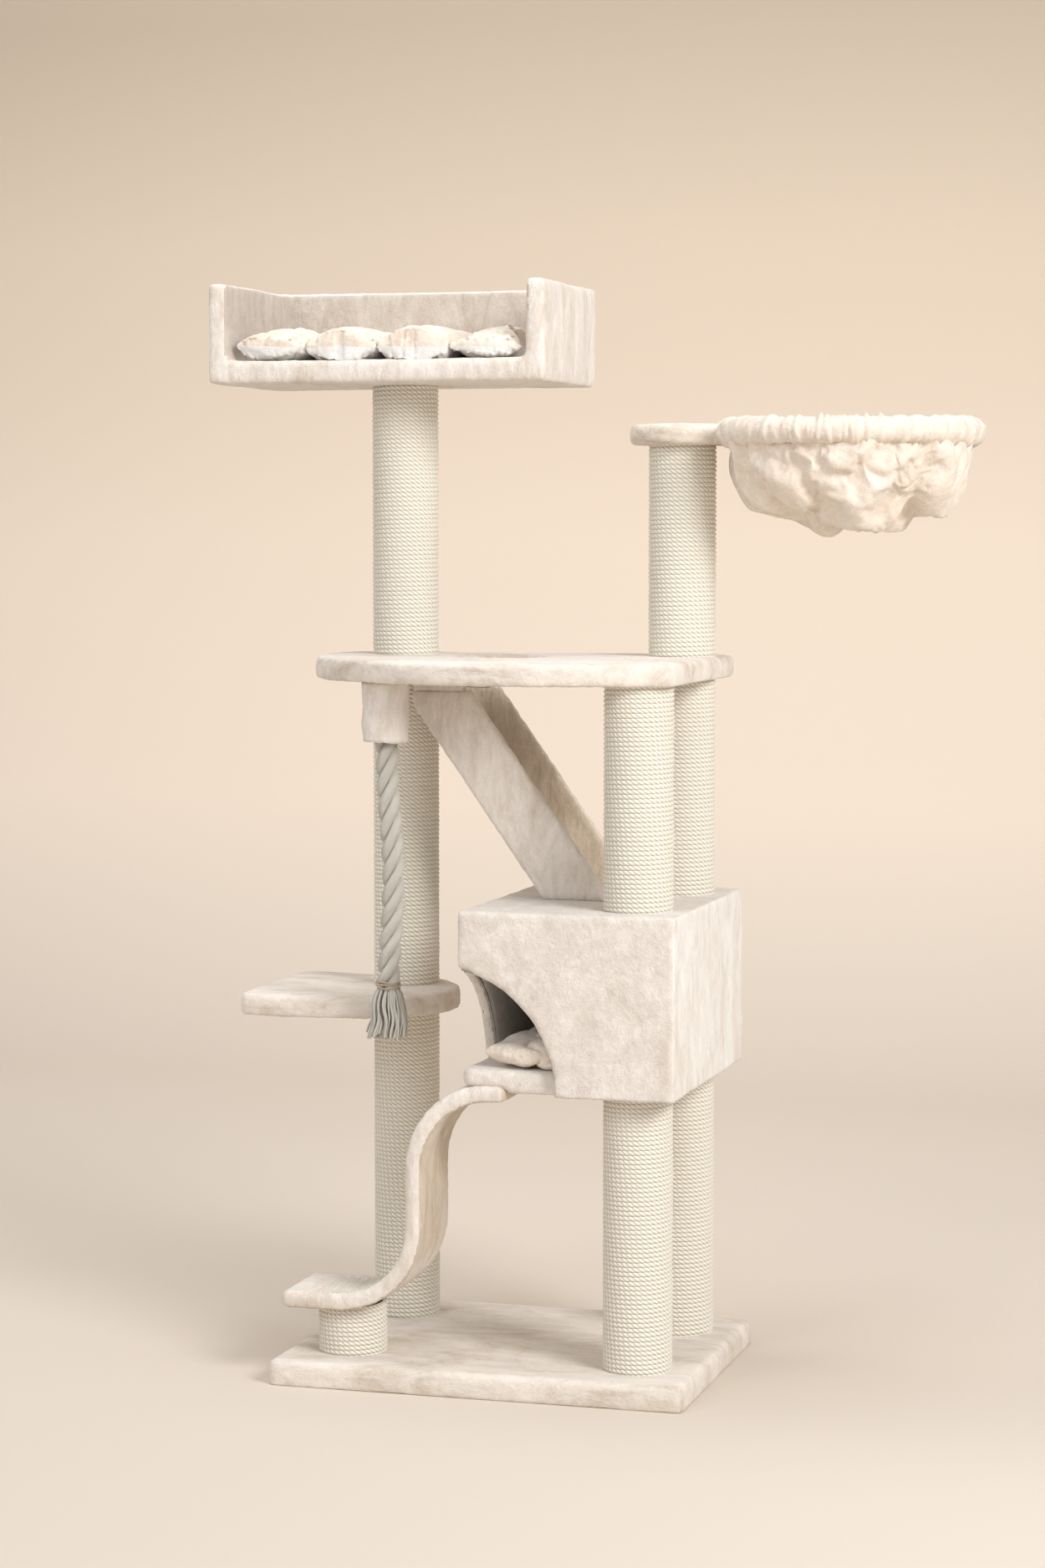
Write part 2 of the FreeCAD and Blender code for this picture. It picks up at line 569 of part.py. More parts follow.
bolt("ramp_bolt", LEFT_FRONT, "ramp_under + ramp_thick - recess_depth", False)
ramp_holes = bolt_hole("ramp_hole", LEFT_FRONT, "ramp_under", "ramp_under + ramp_thick",
                       "ramp_under + ramp_thick - recess_depth", "recess_depth")
ramp_outer = padded("ramp_outer", "XZ_Plane", ramp_band("0", "ramp_thick"), "ramp_width",
                    y="-post_y + ramp_width / 2")
ramp_blank = padded("ramp_blank", "XZ_Plane", ramp_band("plush", "ramp_thick - plush"),
                    "ramp_width - 2 * plush", y="-post_y + ramp_width / 2 - plush")
mat_blank = padded("mat_blank", "XZ_Plane",
                   ramp_band("ramp_thick - mat_thick", "ramp_thick", "ramp_foot - mat_foot", True),
                   "mat_width", y="-post_y + mat_width / 2 - mat_shift")
node("ramp_board", cut("ramp_board", ramp_blank, ramp_holes))
skin("ramp_cover", ramp_outer, [ramp_blank, mat_blank], ramp_holes)
node("ramp_sisal_mat", cut("ramp_sisal_mat", mat_blank, ramp_holes))


# ---------------------------------------------------------------- chute
def sloping(name, low_y, high_y, thick, inset):
    """A board that lies on the chute's slope, cut level at both ends and upright at its upper end."""
    lean = block(name + "_lean",
                 f"chute_foot_x - chute_reach * cos(chute_slope) + {inset} * sin(chute_slope)",
                 f"{low_y} + {inset}",
                 f"house_top + chute_reach * sin(chute_slope) + {inset} * cos(chute_slope)",
                 "chute_reach + chute_spare", f"({high_y}) - ({low_y}) - 2 * {inset}",
                 f"{thick} - 2 * {inset}")
    turn(lean, (0, 1, 0), "chute_slope")
    level = span(name + "_level", (f"{inset} - chute_left", low_y, f"house_top + {inset}"),
                 ("chute_left + chute_foot_x", high_y, f"chute_top - {inset}"))
    return common(name, [lean, level])


chute_front, chute_back = "chute_y - chute_width / 2", "chute_y + chute_width / 2"
CHUTE = {
    "chute_near_side": (chute_front, "chute_y - chute_width / 2 + chute_wall", "chute_wall_high"),
    "chute_far_side": ("chute_y + chute_width / 2 - chute_wall", chute_back, "chute_wall_high"),
    "chute_bed": ("chute_y - chute_width / 2 + chute_wall", "chute_y + chute_width / 2 - chute_wall",
                  "chute_wall"),
}
chute_boards = {name: sloping(name, *across, "plush") for name, across in CHUTE.items()}
chute_skins = [sloping(name + "_skin", *across, "0") for name, across in CHUTE.items()]
node("chute_side_walls", group("chute_side_walls", [chute_boards["chute_near_side"],
                                                    chute_boards["chute_far_side"]]))
node("chute_floor", chute_boards["chute_bed"])
skin("chute_cover", fuse("chute_outer", chute_skins), list(chute_boards.values()))
cleats = [block(f"chute_{side}_cleat", "chute_head_x + cleat_past_head", cleat_y, "chute_top",
                "cleat_length", "chute_wall", "cleat_high")
          for side, cleat_y in (("near", chute_front), ("far", "chute_y + chute_width / 2 - chute_wall"))]
node("chute_cleats", group("chute_cleats", cleats))

# ---------------------------------------------------------------- bed
bed_right, bed_back = "bed_width - bed_left", "bed_front + bed_depth"
bed_top = "bed_under + bed_high"
BED = {
    "bed_left_wall": (("-bed_left", "bed_front", "bed_under"), ("bed_wall - bed_left", bed_back, bed_top)),
    "bed_right_wall": ((f"{bed_right} - bed_wall", "bed_front", "bed_under"), (bed_right, bed_back, bed_top)),
    "bed_back_wall": (("bed_wall - bed_left", f"{bed_back} - bed_wall", "bed_under"),
                      (f"{bed_right} - bed_wall", bed_back, bed_top)),
    "bed_floor_board": (("bed_wall - bed_left", "bed_front", "bed_under"),
                        (f"{bed_right} - bed_wall", f"{bed_back} - bed_wall", "bed_floor_top")),
}
bolt("bed_bolt", LEFT_BACK, "bed_floor_top - recess_depth", False)
bed_holes = bolt_hole("bed_hole", LEFT_BACK, "bed_under", "bed_floor_top", "bed_floor_top - recess_depth",
                      "recess_depth")
bed_screws = []
for side, screw_x, way in (("left", "plush - bed_left", INTO_X), ("right", f"{bed_right} - plush", OUT_OF_X)):
    for label, screw_y in (("front", "bed_front + screw_inset"),
                           ("back", f"{bed_back} - bed_wall - screw_inset")):
        bed_screws.append(screw(f"bed_{side}_{label}_screw", screw_x, screw_y, "bed_under + slab / 2", *way))
bed_screw_tools = group("bed_screw_tools", bed_screws)
bed_skins, bed_blanks = [], {}
for name, (low, high) in BED.items():
    bed_skins.append(span(name + "_skin", low, high))
    inner_low = tuple(f"({text}) + plush" for text in low)
    inner_high = tuple(f"({text}) - plush" for text in high)
    bed_blanks[name] = cut(name + "_screwed", span(name + "_blank", inner_low, inner_high), [bed_screw_tools])
node("bed_side_walls", group("bed_side_walls", [bed_blanks["bed_left_wall"], bed_blanks["bed_right_wall"]]))
node("bed_back_wall", bed_blanks["bed_back_wall"])
node("bed_floor_board", cut("bed_floor_board", bed_blanks["bed_floor_board"], bed_holes))
skin("bed_cover", fuse("bed_outer", bed_skins), [*bed_blanks.values(), bed_screw_tools], bed_holes)
cushion("bed_cushion",
        ("bed_wall - bed_left + cushion_gap", "bed_front + bed_cushion_front", "bed_floor_top + swivel_gap"),
        (f"{bed_right} - bed_wall - cushion_gap", f"{bed_back} - bed_wall - cushion_gap",
         "bed_floor_top + swivel_gap + bed_cushion_high"))

# ---------------------------------------------------------------- hammock
hoop_outside = "hoop_radius - hoop_wrap"
board_z = "plate_under + plush"
plate_hole = rod("plate_hole", *RIGHT_BACK, "plate_under", "bolt_radius + bolt_clearance", "plate_thick")
plate_recess = rod("plate_recess", *RIGHT_BACK, "plate_under + plate_thick - recess_depth", "recess_radius",
                   "recess_depth")
hoop_mouth = rod("hoop_mouth", "hoop_x", "post_y", board_z, "hoop_radius - hoop_wrap - hoop_width",
                 "plate_board")
board_blank = fuse("board_blank", [
    rod("plate_disc", *RIGHT_BACK, board_z, "plate_radius - plush", "plate_board"),
    block("plate_arm", "right_x", "post_y - arm_width / 2 + plush", board_z, "hoop_reach",
          "arm_width - 2 * plush", "plate_board"),
    rod("hoop_disc", "hoop_x", "post_y", board_z, hoop_outside, "plate_board"),
])
hammock_blank = cut("hammock_blank", board_blank, [hoop_mouth])
node("hammock_board", cut("hammock_board", hammock_blank, [plate_hole, plate_recess]))
plate_outer = fuse("plate_outer", [
    rod("plate_skin", *RIGHT_BACK, "plate_under", "plate_radius", "plate_thick"),
    block("arm_skin", "right_x", "post_y - arm_width / 2", "plate_under", "hoop_reach - hoop_radius",
          "arm_width", "plate_thick"),
])
hoop_room = rod("hoop_room", "hoop_x", "post_y", "plate_under", "hoop_radius", "plate_thick")
skin("hammock_plate_cover", plate_outer, [hammock_blank, hoop_room], [plate_hole, plate_recess])
bolt("hammock_bolt", RIGHT_BACK, "plate_under + plate_thick - recess_depth + swivel_gap", False)



def half_bowl(name, shrink):
    """The lower half of a flattened ball, hung from the hoop."""
    ball = doc.addObject("Part::Ellipsoid", name)
    for prop, text in (("Radius1", f"bag_depth - {shrink}"), ("Radius2", f"bag_mouth - {shrink}"),
                       ("Radius3", f"bag_mouth - {shrink}")):
        ball.setExpression(prop, bound(text))
    ball.Angle1, ball.Angle2 = -90, 0
    return place(ball, "hoop_x", "post_y", "plate_under")


throat = "hoop_radius - hoop_wrap - hoop_width - bag_wall"
rim = pipe("bag_rim", "hoop_x", "post_y", "plate_under - bag_wall / 2", "hoop_radius", throat,
           "plate_thick + rim_rise + bag_wall / 2")
bowl = cut("bag_bowl", half_bowl("bowl_outside", "0"), [half_bowl("bowl_inside", "bag_wall")])
arm_room = block("arm_room", "right_x", "post_y - arm_width / 2", "plate_under",
                 "hoop_reach - hoop_radius + hoop_wrap", "arm_width", "plate_thick")
node("hammock_bag", cut("hammock_bag", fuse("bag_whole", [rim, bowl]), [hammock_blank, arm_room]))

# ---------------------------------------------------------------- toy rope
node("rope_sleeve", pipe("rope_sleeve", "sleeve_x", "cord_y", "cord_exit", "sleeve_radius",
                         "sleeve_radius - sleeve_wall", "sleeve_length"))


def tube_through(points, radius):
    """A round cord along straight runs joined by tangent arcs, each as large as its runs allow."""
    edges, start, total = [], points[0], 0
    for before, corner, after in zip(points, points[1:], points[2:]):
        to_corner, from_corner = corner - before, after - corner
        bend = to_corner.getAngle(from_corner)
        reach = 0.45 * min(to_corner.Length, from_corner.Length)
        arc_radius = reach / math.tan(bend / 2)
        into = corner - to_corner.normalize() * reach
        out = corner + from_corner.normalize() * reach
        bisector = (into - corner) + (out - corner)
        centre = corner + bisector.normalize() * (arc_radius / math.cos(bend / 2))
        middle = centre + (corner - centre).normalize() * arc_radius
        edges += [Part.LineSegment(start, into).toShape(), Part.Arc(into, middle, out).toShape()]
        print(f"rope bend radius {arc_radius:.0f} mm over {2 * reach:.0f} mm")
        start = out
    edges.append(Part.LineSegment(start, points[-1]).toShape())
    path = Part.Wire(edges)
    ring = Part.Wire(Part.makeCircle(radius, points[0], points[1] - points[0]))
    tube = path.makePipeShell([ring], True, True)
    expected = math.pi * radius ** 2 * path.Length
    print(f"rope length {path.Length:.1f} mm, volume {tube.Volume / expected:.4f} of section times length")
    return tube


def freeform(label, shape):
    """A piece that no primitive or sketch gives."""
    piece = doc.addObject("Part::Feature", label)
    piece.Shape = shape
    return node(label, piece)


cord_radius, cord_y = value("cord_radius"), value("cord_y")
rope_x = ROPE_ROUTE[0][0]
pivot, flex = Vector(rope_x, cord_y, value("cord_pivot")), Vector(rope_x, cord_y, value("cord_flex"))
clear = cord_radius + value("cord_gap")


def dome(centre):
    """The rounded top of a stretch of rope that turns about its centre."""
    return Part.makeSphere(cord_radius, centre, Vector(0, 0, 1), 0, 90, 360)


node("rope_top", rod("rope_top", rope_x, "cord_y", "cord_pivot + cord_radius + cord_gap", "cord_radius",
                     "deck_under - cord_pivot - cord_radius - 2 * cord_gap"))
upper = Part.makeCylinder(cord_radius, pivot.z - flex.z - clear, flex + Vector(0, 0, clear))
freeform("rope_upper", upper.fuse(dome(pivot)).removeSplitter())
route = [Vector(x, cord_y, value("cord_exit") - drop) for x, drop in ROPE_ROUTE]
freeform("rope_lower", tube_through(route, cord_radius).fuse(dome(flex)).removeSplitter())
knot = route[-1]
node("rope_whipping", pipe("rope_whipping", knot.x, "cord_y", knot.z, "whipping_radius", "cord_radius",
                           "whipping_high"))
tassel = doc.addObject("Part::Cone", "tassel")
for prop, text in (("Radius1", "tassel_radius"), ("Radius2", "tassel_top"), ("Height", "tassel_length")):
    tassel.setExpression(prop, bound(text))
node("rope_tassel", place(tassel, knot.x, "cord_y", f"{knot.z} - tassel_length"))

# ---------------------------------------------------------------- the fasteners, alike ones together
node("bolts", group("bolts", bolts))
node("washers", group("washers", washers))
node("threaded_studs", group("threaded_studs", studs))
node("wood_screws", group("wood_screws", screws))

# ---------------------------------------------------------------- check and write
doc.recompute()
failed = [thing.Label for thing in doc.Objects if {"Invalid", "Error"} & set(thing.State)]
failed += [piece.Label for piece in nodes if piece.Shape.isNull() or not piece.Shape.isValid()]
if failed:
    raise SystemExit("these did not build: " + ", ".join(failed))
os.makedirs("parts", exist_ok=True)
for piece in nodes:
    piece.Shape.exportStep(f"parts/{piece.Label}.step")
print(len(nodes), "pieces written")
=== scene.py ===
# %% [markdown]
# # A cat tree in plush and sisal
# The posts, boards and bolts come from the measured model, which is loaded as a fixed frame.
# Everything soft is made here round that frame: wound sisal, plush, cushions, the bag and the rope.

# %% Load the frame
import json
import math
import random

import bmesh
import bpy
from mathutils import Euler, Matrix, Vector, noise


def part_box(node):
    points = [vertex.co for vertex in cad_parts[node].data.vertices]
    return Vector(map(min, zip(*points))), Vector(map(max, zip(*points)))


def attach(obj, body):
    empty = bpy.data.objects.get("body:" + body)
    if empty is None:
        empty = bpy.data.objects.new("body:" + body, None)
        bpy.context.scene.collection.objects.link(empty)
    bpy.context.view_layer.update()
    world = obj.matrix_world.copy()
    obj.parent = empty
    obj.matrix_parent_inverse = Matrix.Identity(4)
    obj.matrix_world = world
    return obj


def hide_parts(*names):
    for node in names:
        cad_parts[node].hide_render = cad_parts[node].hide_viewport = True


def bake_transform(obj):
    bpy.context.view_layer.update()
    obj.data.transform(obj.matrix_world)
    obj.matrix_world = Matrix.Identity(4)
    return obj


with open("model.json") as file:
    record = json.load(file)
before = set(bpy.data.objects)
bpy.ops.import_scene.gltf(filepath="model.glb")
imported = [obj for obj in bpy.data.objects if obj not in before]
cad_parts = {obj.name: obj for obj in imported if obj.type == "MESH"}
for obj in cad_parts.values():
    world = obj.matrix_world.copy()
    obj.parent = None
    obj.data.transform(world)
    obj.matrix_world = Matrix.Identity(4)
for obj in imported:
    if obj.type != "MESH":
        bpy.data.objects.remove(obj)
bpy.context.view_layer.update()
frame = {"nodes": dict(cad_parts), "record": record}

MM = 0.001

# %% [markdown]
# The camera stands about six metres in front, a little to the right, with a long lens, so that the
# tree looks as it does in a catalogue: upright lines stay upright and boards are seen nearly edge on.

# %% Camera
CAMERA_PLACE = (1.7279, -5.9244, 1.4746)
CAMERA_TILT, CAMERA_TURN, LENS_LENGTH = 4.11, 16.15, 80.9


def put(name, data):
    """Place data in the scene as an object at the origin."""
    thing = bpy.data.objects.new(name, data)
    bpy.context.scene.collection.objects.link(thing)
    return thing


lens = bpy.data.cameras.new("camera")
lens.lens = LENS_LENGTH
camera = put("camera", lens)
camera.location = CAMERA_PLACE
camera.rotation_euler = Euler((math.radians(90 - CAMERA_TILT), 0, math.radians(CAMERA_TURN)))
bpy.context.scene.camera = camera
print("camera", CAMERA_PLACE, "lens", LENS_LENGTH)


# %% [markdown]
# A few small helpers serve every piece. They turn a bmesh into a mesh and back, keep what an object's
# modifiers make, and put a finished mesh in the scene, where it rides on its body and stands for the
# nodes that it covers.

# %% Meshes and pieces
def as_mesh(name, shape):
    mesh = bpy.data.meshes.new(name)
    shape.to_mesh(mesh)
    shape.free()
    return mesh


def opened(mesh):
    shape = bmesh.new()
    shape.from_mesh(mesh)
    return shape


def applied(holder):
    """The mesh that an object's modifiers make. The object itself goes."""
    made = bpy.data.meshes.new_from_object(holder.evaluated_get(bpy.context.evaluated_depsgraph_get()))
    bpy.data.objects.remove(holder)
    return made


def piece(name, shape, materials, body, nodes):
    """Put a mesh or bmesh in the scene, riding on its body and standing for the nodes that it covers."""
    if isinstance(shape, bmesh.types.BMesh):
        mesh = as_mesh(name, shape)
    else:
        mesh = shape
        mesh.name = name
    for material in materials:
        mesh.materials.append(material)
    mesh.polygons.foreach_set("use_smooth", [True] * len(mesh.polygons))
    thing = put(name, mesh)
    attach(thing, body)
    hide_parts(*nodes)
    return thing


def middle(node):
    low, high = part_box(node)
    return (low + high) / 2


# %% [markdown]
# Soft layers follow the boards under them. A board's flat side is taken from the model as one clean
# sheet and pushed through to a closed shape. A voxel remesh melts such shapes into one even mesh,
# smoothing rubs the edges round, and noise lifts and sinks the surface.

# %% Sheets and soft layers
FLAT_ENOUGH, RUB_ROUNDS = 0.999, 6


def side_sheet(node, direction):
    """The flat faces of a model part that lie furthest along a direction, as one clean sheet."""
    away = Vector(direction)
    sheet = opened(frame["nodes"][node].data)
    bmesh.ops.remove_doubles(sheet, verts=sheet.verts, dist=0.01 * MM)
    far = max(vert.co.dot(away) for vert in sheet.verts)
    other = [face for face in sheet.faces
             if face.normal.dot(away) < FLAT_ENOUGH
             or abs(face.calc_center_median().dot(away) - far) > 0.05 * MM]
    bmesh.ops.delete(sheet, geom=other, context="FACES")
    bmesh.ops.dissolve_limit(sheet, angle_limit=0.001, verts=sheet.verts, edges=sheet.edges,
                             use_dissolve_boundaries=False)
    return sheet


def thicken(sheet, offset):
    """Push a sheet through by an offset, which leaves a closed board."""
    moved = bmesh.ops.extrude_face_region(sheet, geom=sheet.faces[:], use_keep_orig=True)
    bmesh.ops.translate(sheet, vec=offset,
                        verts=[g for g in moved["geom"] if isinstance(g, bmesh.types.BMVert)])
    bmesh.ops.recalc_face_normals(sheet, faces=sheet.faces)
    return sheet


def rub(shape, share):
    bmesh.ops.smooth_vert(shape, verts=shape.verts, factor=share, use_axis_x=True, use_axis_y=True,
                          use_axis_z=True)


def cushioned(shapes, voxel):
    """Melt closed shapes into one even mesh, then rub its edges round, as thick plush does."""
    whole = bmesh.new()
    for shape in shapes:
        part = as_mesh("part", shape)
        whole.from_mesh(part)
        bpy.data.meshes.remove(part)
    blank = as_mesh("blank", whole)
    holder = put("blank", blank)
    remesh = holder.modifiers.new("remesh", "REMESH")
    remesh.mode, remesh.voxel_size = "VOXEL", voxel
    melted = applied(holder)
    even = opened(melted)
    bpy.data.meshes.remove(blank)
    bpy.data.meshes.remove(melted)
    for _ in range(RUB_ROUNDS):
        rub(even, 0.5)
    return even


def tousle(shape, height, scale, seed=0.0):
    """Lift and sink the surface by soft noise, which breaks up a pile's outline."""
    shape.normal_update()
    shift = Vector((seed, seed * 1.7, seed * 0.6))
    for vert in shape.verts:
        vert.co += vert.normal * height * noise.noise(vert.co / scale + shift)
    return shape


# %% [markdown]
# ## Finishes
# Each finish is a small node group made by a function: colour comes from stretched noise, and bump
# from finer noise. Plush has a sheen, because its fibres stand up and catch light at the edges.

# %% Node helper
def shader(name, colour, roughness, **sockets):
    material = bpy.data.materials.new(name)
    material.use_nodes = True
    surface = material.node_tree.nodes["Principled BSDF"]
    surface.inputs["Base Color"].default_value = (*colour, 1)
    surface.inputs["Roughness"].default_value = roughness
    for socket, amount in sockets.items():
        surface.inputs[socket.replace("_", " ")].default_value = amount
    return material, material.node_tree, surface


def add(tree, kind, inputs=None, **settings):
    made = tree.nodes.new(kind)
    for key, setting in settings.items():
        setattr(made, key, setting)
    for key, source in (inputs or {}).items():
        if isinstance(source, bpy.types.NodeSocket):
            tree.links.new(source, made.inputs[key])
        else:
            made.inputs[key].default_value = source
    return made


def colour_steps(tree, source, stops):
    """A colour ramp from a list of (position, colour)."""
    made = add(tree, "ShaderNodeValToRGB", {"Fac": source})
    while len(made.color_ramp.elements) < len(stops):
        made.color_ramp.elements.new(0.5)
    for element, (position, colour) in zip(made.color_ramp.elements, stops):
        element.position, element.color = position, (*colour, 1)
    return made.outputs["Color"]


def plush(name, light, dark, streak=(1, 1, 0.35), patch=18, pile=0.6):
    """Short pile: brushed patches in two shades, streaked one way, with bright tips and fibre bump."""
    material, tree, surface = shader(name, light, 0.85, Sheen_Weight=0.4, Sheen_Roughness=0.4,
                                     Specular_IOR_Level=0.15)
    place = add(tree, "ShaderNodeTexCoord").outputs["Object"]
    along = add(tree, "ShaderNodeMapping", {"Vector": place, "Scale": streak}).outputs["Vector"]
    patches = add(tree, "ShaderNodeTexNoise", {"Vector": along, "Scale": patch, "Detail": 8,
                                               "Roughness": 0.68, "Distortion": 1.2}).outputs["Fac"]
    strokes = add(tree, "ShaderNodeTexNoise", {"Vector": along, "Scale": patch * 5, "Detail": 5,
                                               "Roughness": 0.7, "Distortion": 0.6}).outputs["Fac"]
    blend = add(tree, "ShaderNodeMath", {0: strokes, 1: 0.45, 2: patches},
                operation="MULTIPLY_ADD").outputs[0]
    bright = tuple(min(1.0, part * 1.12) for part in light)
    shades = colour_steps(tree, blend, [(0.52, dark), (0.76, light), (0.92, bright)])
    fibres = add(tree, "ShaderNodeTexNoise", {"Vector": place, "Scale": 420, "Detail": 3,
                                              "Roughness": 0.7}).outputs["Fac"]
    speckle = colour_steps(tree, fibres, [(0.3, (0.88, 0.87, 0.86)), (0.7, (1, 1, 1))])
    mixed = add(tree, "ShaderNodeMix", {0: 1.0, 6: shades, 7: speckle}, data_type="RGBA",
                blend_type="MULTIPLY")
    tree.links.new(mixed.outputs[2], surface.inputs["Base Color"])
    tufts = add(tree, "ShaderNodeTexNoise", {"Vector": place, "Scale": 130, "Detail": 4,
                                             "Roughness": 0.75}).outputs["Fac"]
    rough = add(tree, "ShaderNodeMath", {0: tufts, 1: strokes}, operation="ADD").outputs[0]
    bump = add(tree, "ShaderNodeBump", {"Height": rough, "Strength": pile, "Distance": 0.003})
    tree.links.new(bump.outputs["Normal"], surface.inputs["Normal"])
    return material


def srgb(red, green, blue):
    """A colour given as it looks on a screen, from 0 to 255, as the shader reads it."""
    return tuple(((c / 255 + 0.055) / 1.055) ** 2.4 if c > 10 else c / 3294.6 for c in (red, green, blue))


# %% [markdown]
# The tree is all one cream plush, with its pile brushed down on the sides and across on the tops, so these
# get their own shades and their own direction of streaks. Three copies carry painted light: a lighter one
# for faces turned to the key light, a darker one for faces in shade, and a darker one for inside the bed.

# %% Plush shades
CREAM, CREAM_SHADE = srgb(238, 230, 221), srgb(216, 202, 187)
plush_side = plush("plush_side", CREAM, CREAM_SHADE, streak=(1, 1, 0.35))
plush_top = plush("plush_top", srgb(236, 227, 216), srgb(204, 188, 168), streak=(0.4, 1, 1), patch=10)
# painted highlight: a lighter copy of the plush for the house's right side, where the key light falls
plush_painted_highlight = plush("plush_painted_highlight", srgb(246, 242, 236), srgb(228, 216, 202), streak=(1, 1, 0.4), patch=14)
# painted shade: a darker copy for the chute's inside and the ramp's faces turned right or down
plush_painted_shade = plush("plush_painted_shade", srgb(216, 201, 182), srgb(190, 171, 148), streak=(1, 1, 0.3))
# painted shade: a darker copy for the faces inside the bed
plush_inside_painted_shade = plush("plush_inside_painted_shade", srgb(206, 196, 185), srgb(188, 175, 161), streak=(1, 1, 0.4), patch=22)
plush_house = plush("plush_house", srgb(234, 226, 217), srgb(220, 209, 198), streak=(1, 1, 0.8), patch=20)
print("plush shades", CREAM, CREAM_SHADE)


# %% [markdown]
# Rope, twine and sisal are all twisted yarn. The gaps between the yarns are sunk by bump and darkened
# with painted shade, and they lean across the cord, so this pattern reads the cord's own UV map, which
# runs in metres along the cord and round it.

# %% Twisted yarn
def twisted(name, colour, groove_shade, strand, lean, fibre_scale):
    """Laid rope and yarn: strands lean across the cord, read from its own UV map in metres, with painted
    shade in the grooves between them.
    """
    material, tree, surface = shader(name, colour, 0.9, Sheen_Weight=0.15, Specular_IOR_Level=0.1)
    flat = add(tree, "ShaderNodeUVMap").outputs["UV"]
    parts = add(tree, "ShaderNodeSeparateXYZ", {"Vector": flat})
    across = add(tree, "ShaderNodeMath", {0: parts.outputs["Y"], 1: lean}, operation="MULTIPLY").outputs[0]
    slant = add(tree, "ShaderNodeMath", {0: parts.outputs["X"], 1: across}, operation="ADD").outputs[0]
    turns = add(tree, "ShaderNodeMath", {0: slant, 1: math.pi / strand}, operation="MULTIPLY").outputs[0]
    wave = add(tree, "ShaderNodeMath", {0: turns}, operation="SINE").outputs[0]
    swell = add(tree, "ShaderNodeMath", {0: wave}, operation="ABSOLUTE").outputs[0]
    valley = add(tree, "ShaderNodeMath", {0: swell, 1: 0.5}, operation="POWER").outputs[0]
    spread = add(tree, "ShaderNodeCombineXYZ", {"X": turns, "Y": parts.outputs["Y"]}).outputs["Vector"]
    fuzz = add(tree, "ShaderNodeTexNoise", {"Vector": spread, "Scale": fibre_scale,
                                            "Detail": 3}).outputs["Fac"]
    faint = add(tree, "ShaderNodeMath", {0: fuzz, 1: 0.4}, operation="MULTIPLY").outputs[0]
    tone = add(tree, "ShaderNodeMath", {0: valley, 1: 0.75, 2: faint},
               operation="MULTIPLY_ADD").outputs[0]
    # painted shade: the grooves between strands take the darker groove colour
    shades = colour_steps(tree, tone, [(0.25, groove_shade), (0.8, colour)])
    tree.links.new(shades, surface.inputs["Base Color"])
    bump = add(tree, "ShaderNodeBump", {"Height": tone, "Strength": 0.9, "Distance": 0.0015})
    tree.links.new(bump.outputs["Normal"], surface.inputs["Normal"])
    return material


# each yarn's second colour is the painted shade in its grooves
sisal = twisted("sisal", srgb(243, 238, 226), srgb(160, 146, 118), strand=0.009, lean=1.1, fibre_scale=3)
cotton = twisted("cotton_rope", srgb(255, 250, 238), srgb(243, 233, 214), strand=0.0035, lean=0.3,
                 fibre_scale=2)
twine = twisted("twine", srgb(238, 221, 192), srgb(206, 178, 138), strand=0.004, lean=1.0, fibre_scale=3)
print("yarns", sisal.name, cotton.name, twine.name)

# %% [markdown]
# ## The toy rope
# A thick three-strand cotton rope hangs out of a plush sleeve. Its line is one smooth curve through a
# few points; each strand then winds round that line, so the lay looks the same all the way down.

# %% Rope line and strands
ROPE_Y = -0.132
ROPE_POINTS = [(-0.194, 1.120), (-0.1935, 1.040), (-0.189, 0.980), (-0.1825, 0.905), (-0.184, 0.810),
               (-0.191, 0.730), (-0.193, 0.678)]  # x and height, from inside the sleeve down to the knot
STRAND_RADIUS, STRAND_OFFSET, LAY = 0.0092, 0.0108, 0.115


def smooth_line(points, resolution=20):
    """The points that a rope of these control points follows."""
    curve = bpy.data.curves.new("line", "CURVE")
    curve.dimensions, curve.resolution_u = "3D", resolution
    spline = curve.splines.new("NURBS")
    spline.points.add(len(points) - 1)
    for point, place in zip(spline.points, points):
        point.co = (*place, 1)
    spline.order_u = 3
    spline.use_endpoint_u = True
    holder = bpy.data.objects.new("line", curve)
    mesh = bpy.data.meshes.new_from_object(holder)
    line = [vert.co.copy() for vert in mesh.vertices]
    bpy.data.objects.remove(holder)
    bpy.data.curves.remove(curve)
    bpy.data.meshes.remove(mesh)
    return line


def cords(name, lines, radius, roundness=2):
    """One mesh of round cords along lists of points, with UVs along and around each, in metres."""
    curve = bpy.data.curves.new(name, "CURVE")
    curve.dimensions, curve.bevel_depth, curve.bevel_resolution = "3D", radius, roundness
    curve.use_fill_caps = True
    for line in lines:
        spline = curve.splines.new("POLY")
        spline.points.add(len(line) - 1)
        for point, place in zip(spline.points, line):
            point.co = (*place, 1)
    holder = bpy.data.objects.new(name, curve)
    mesh = bpy.data.meshes.new_from_object(holder)
    bpy.data.objects.remove(holder)
    bpy.data.curves.remove(curve)
    length = sum((b - a).length for a, b in zip(lines[0], lines[0][1:]))
    for loop in mesh.uv_layers[0].data:
        loop.uv = (loop.uv[1] * length, loop.uv[0] * 2 * math.pi * radius)
    return mesh


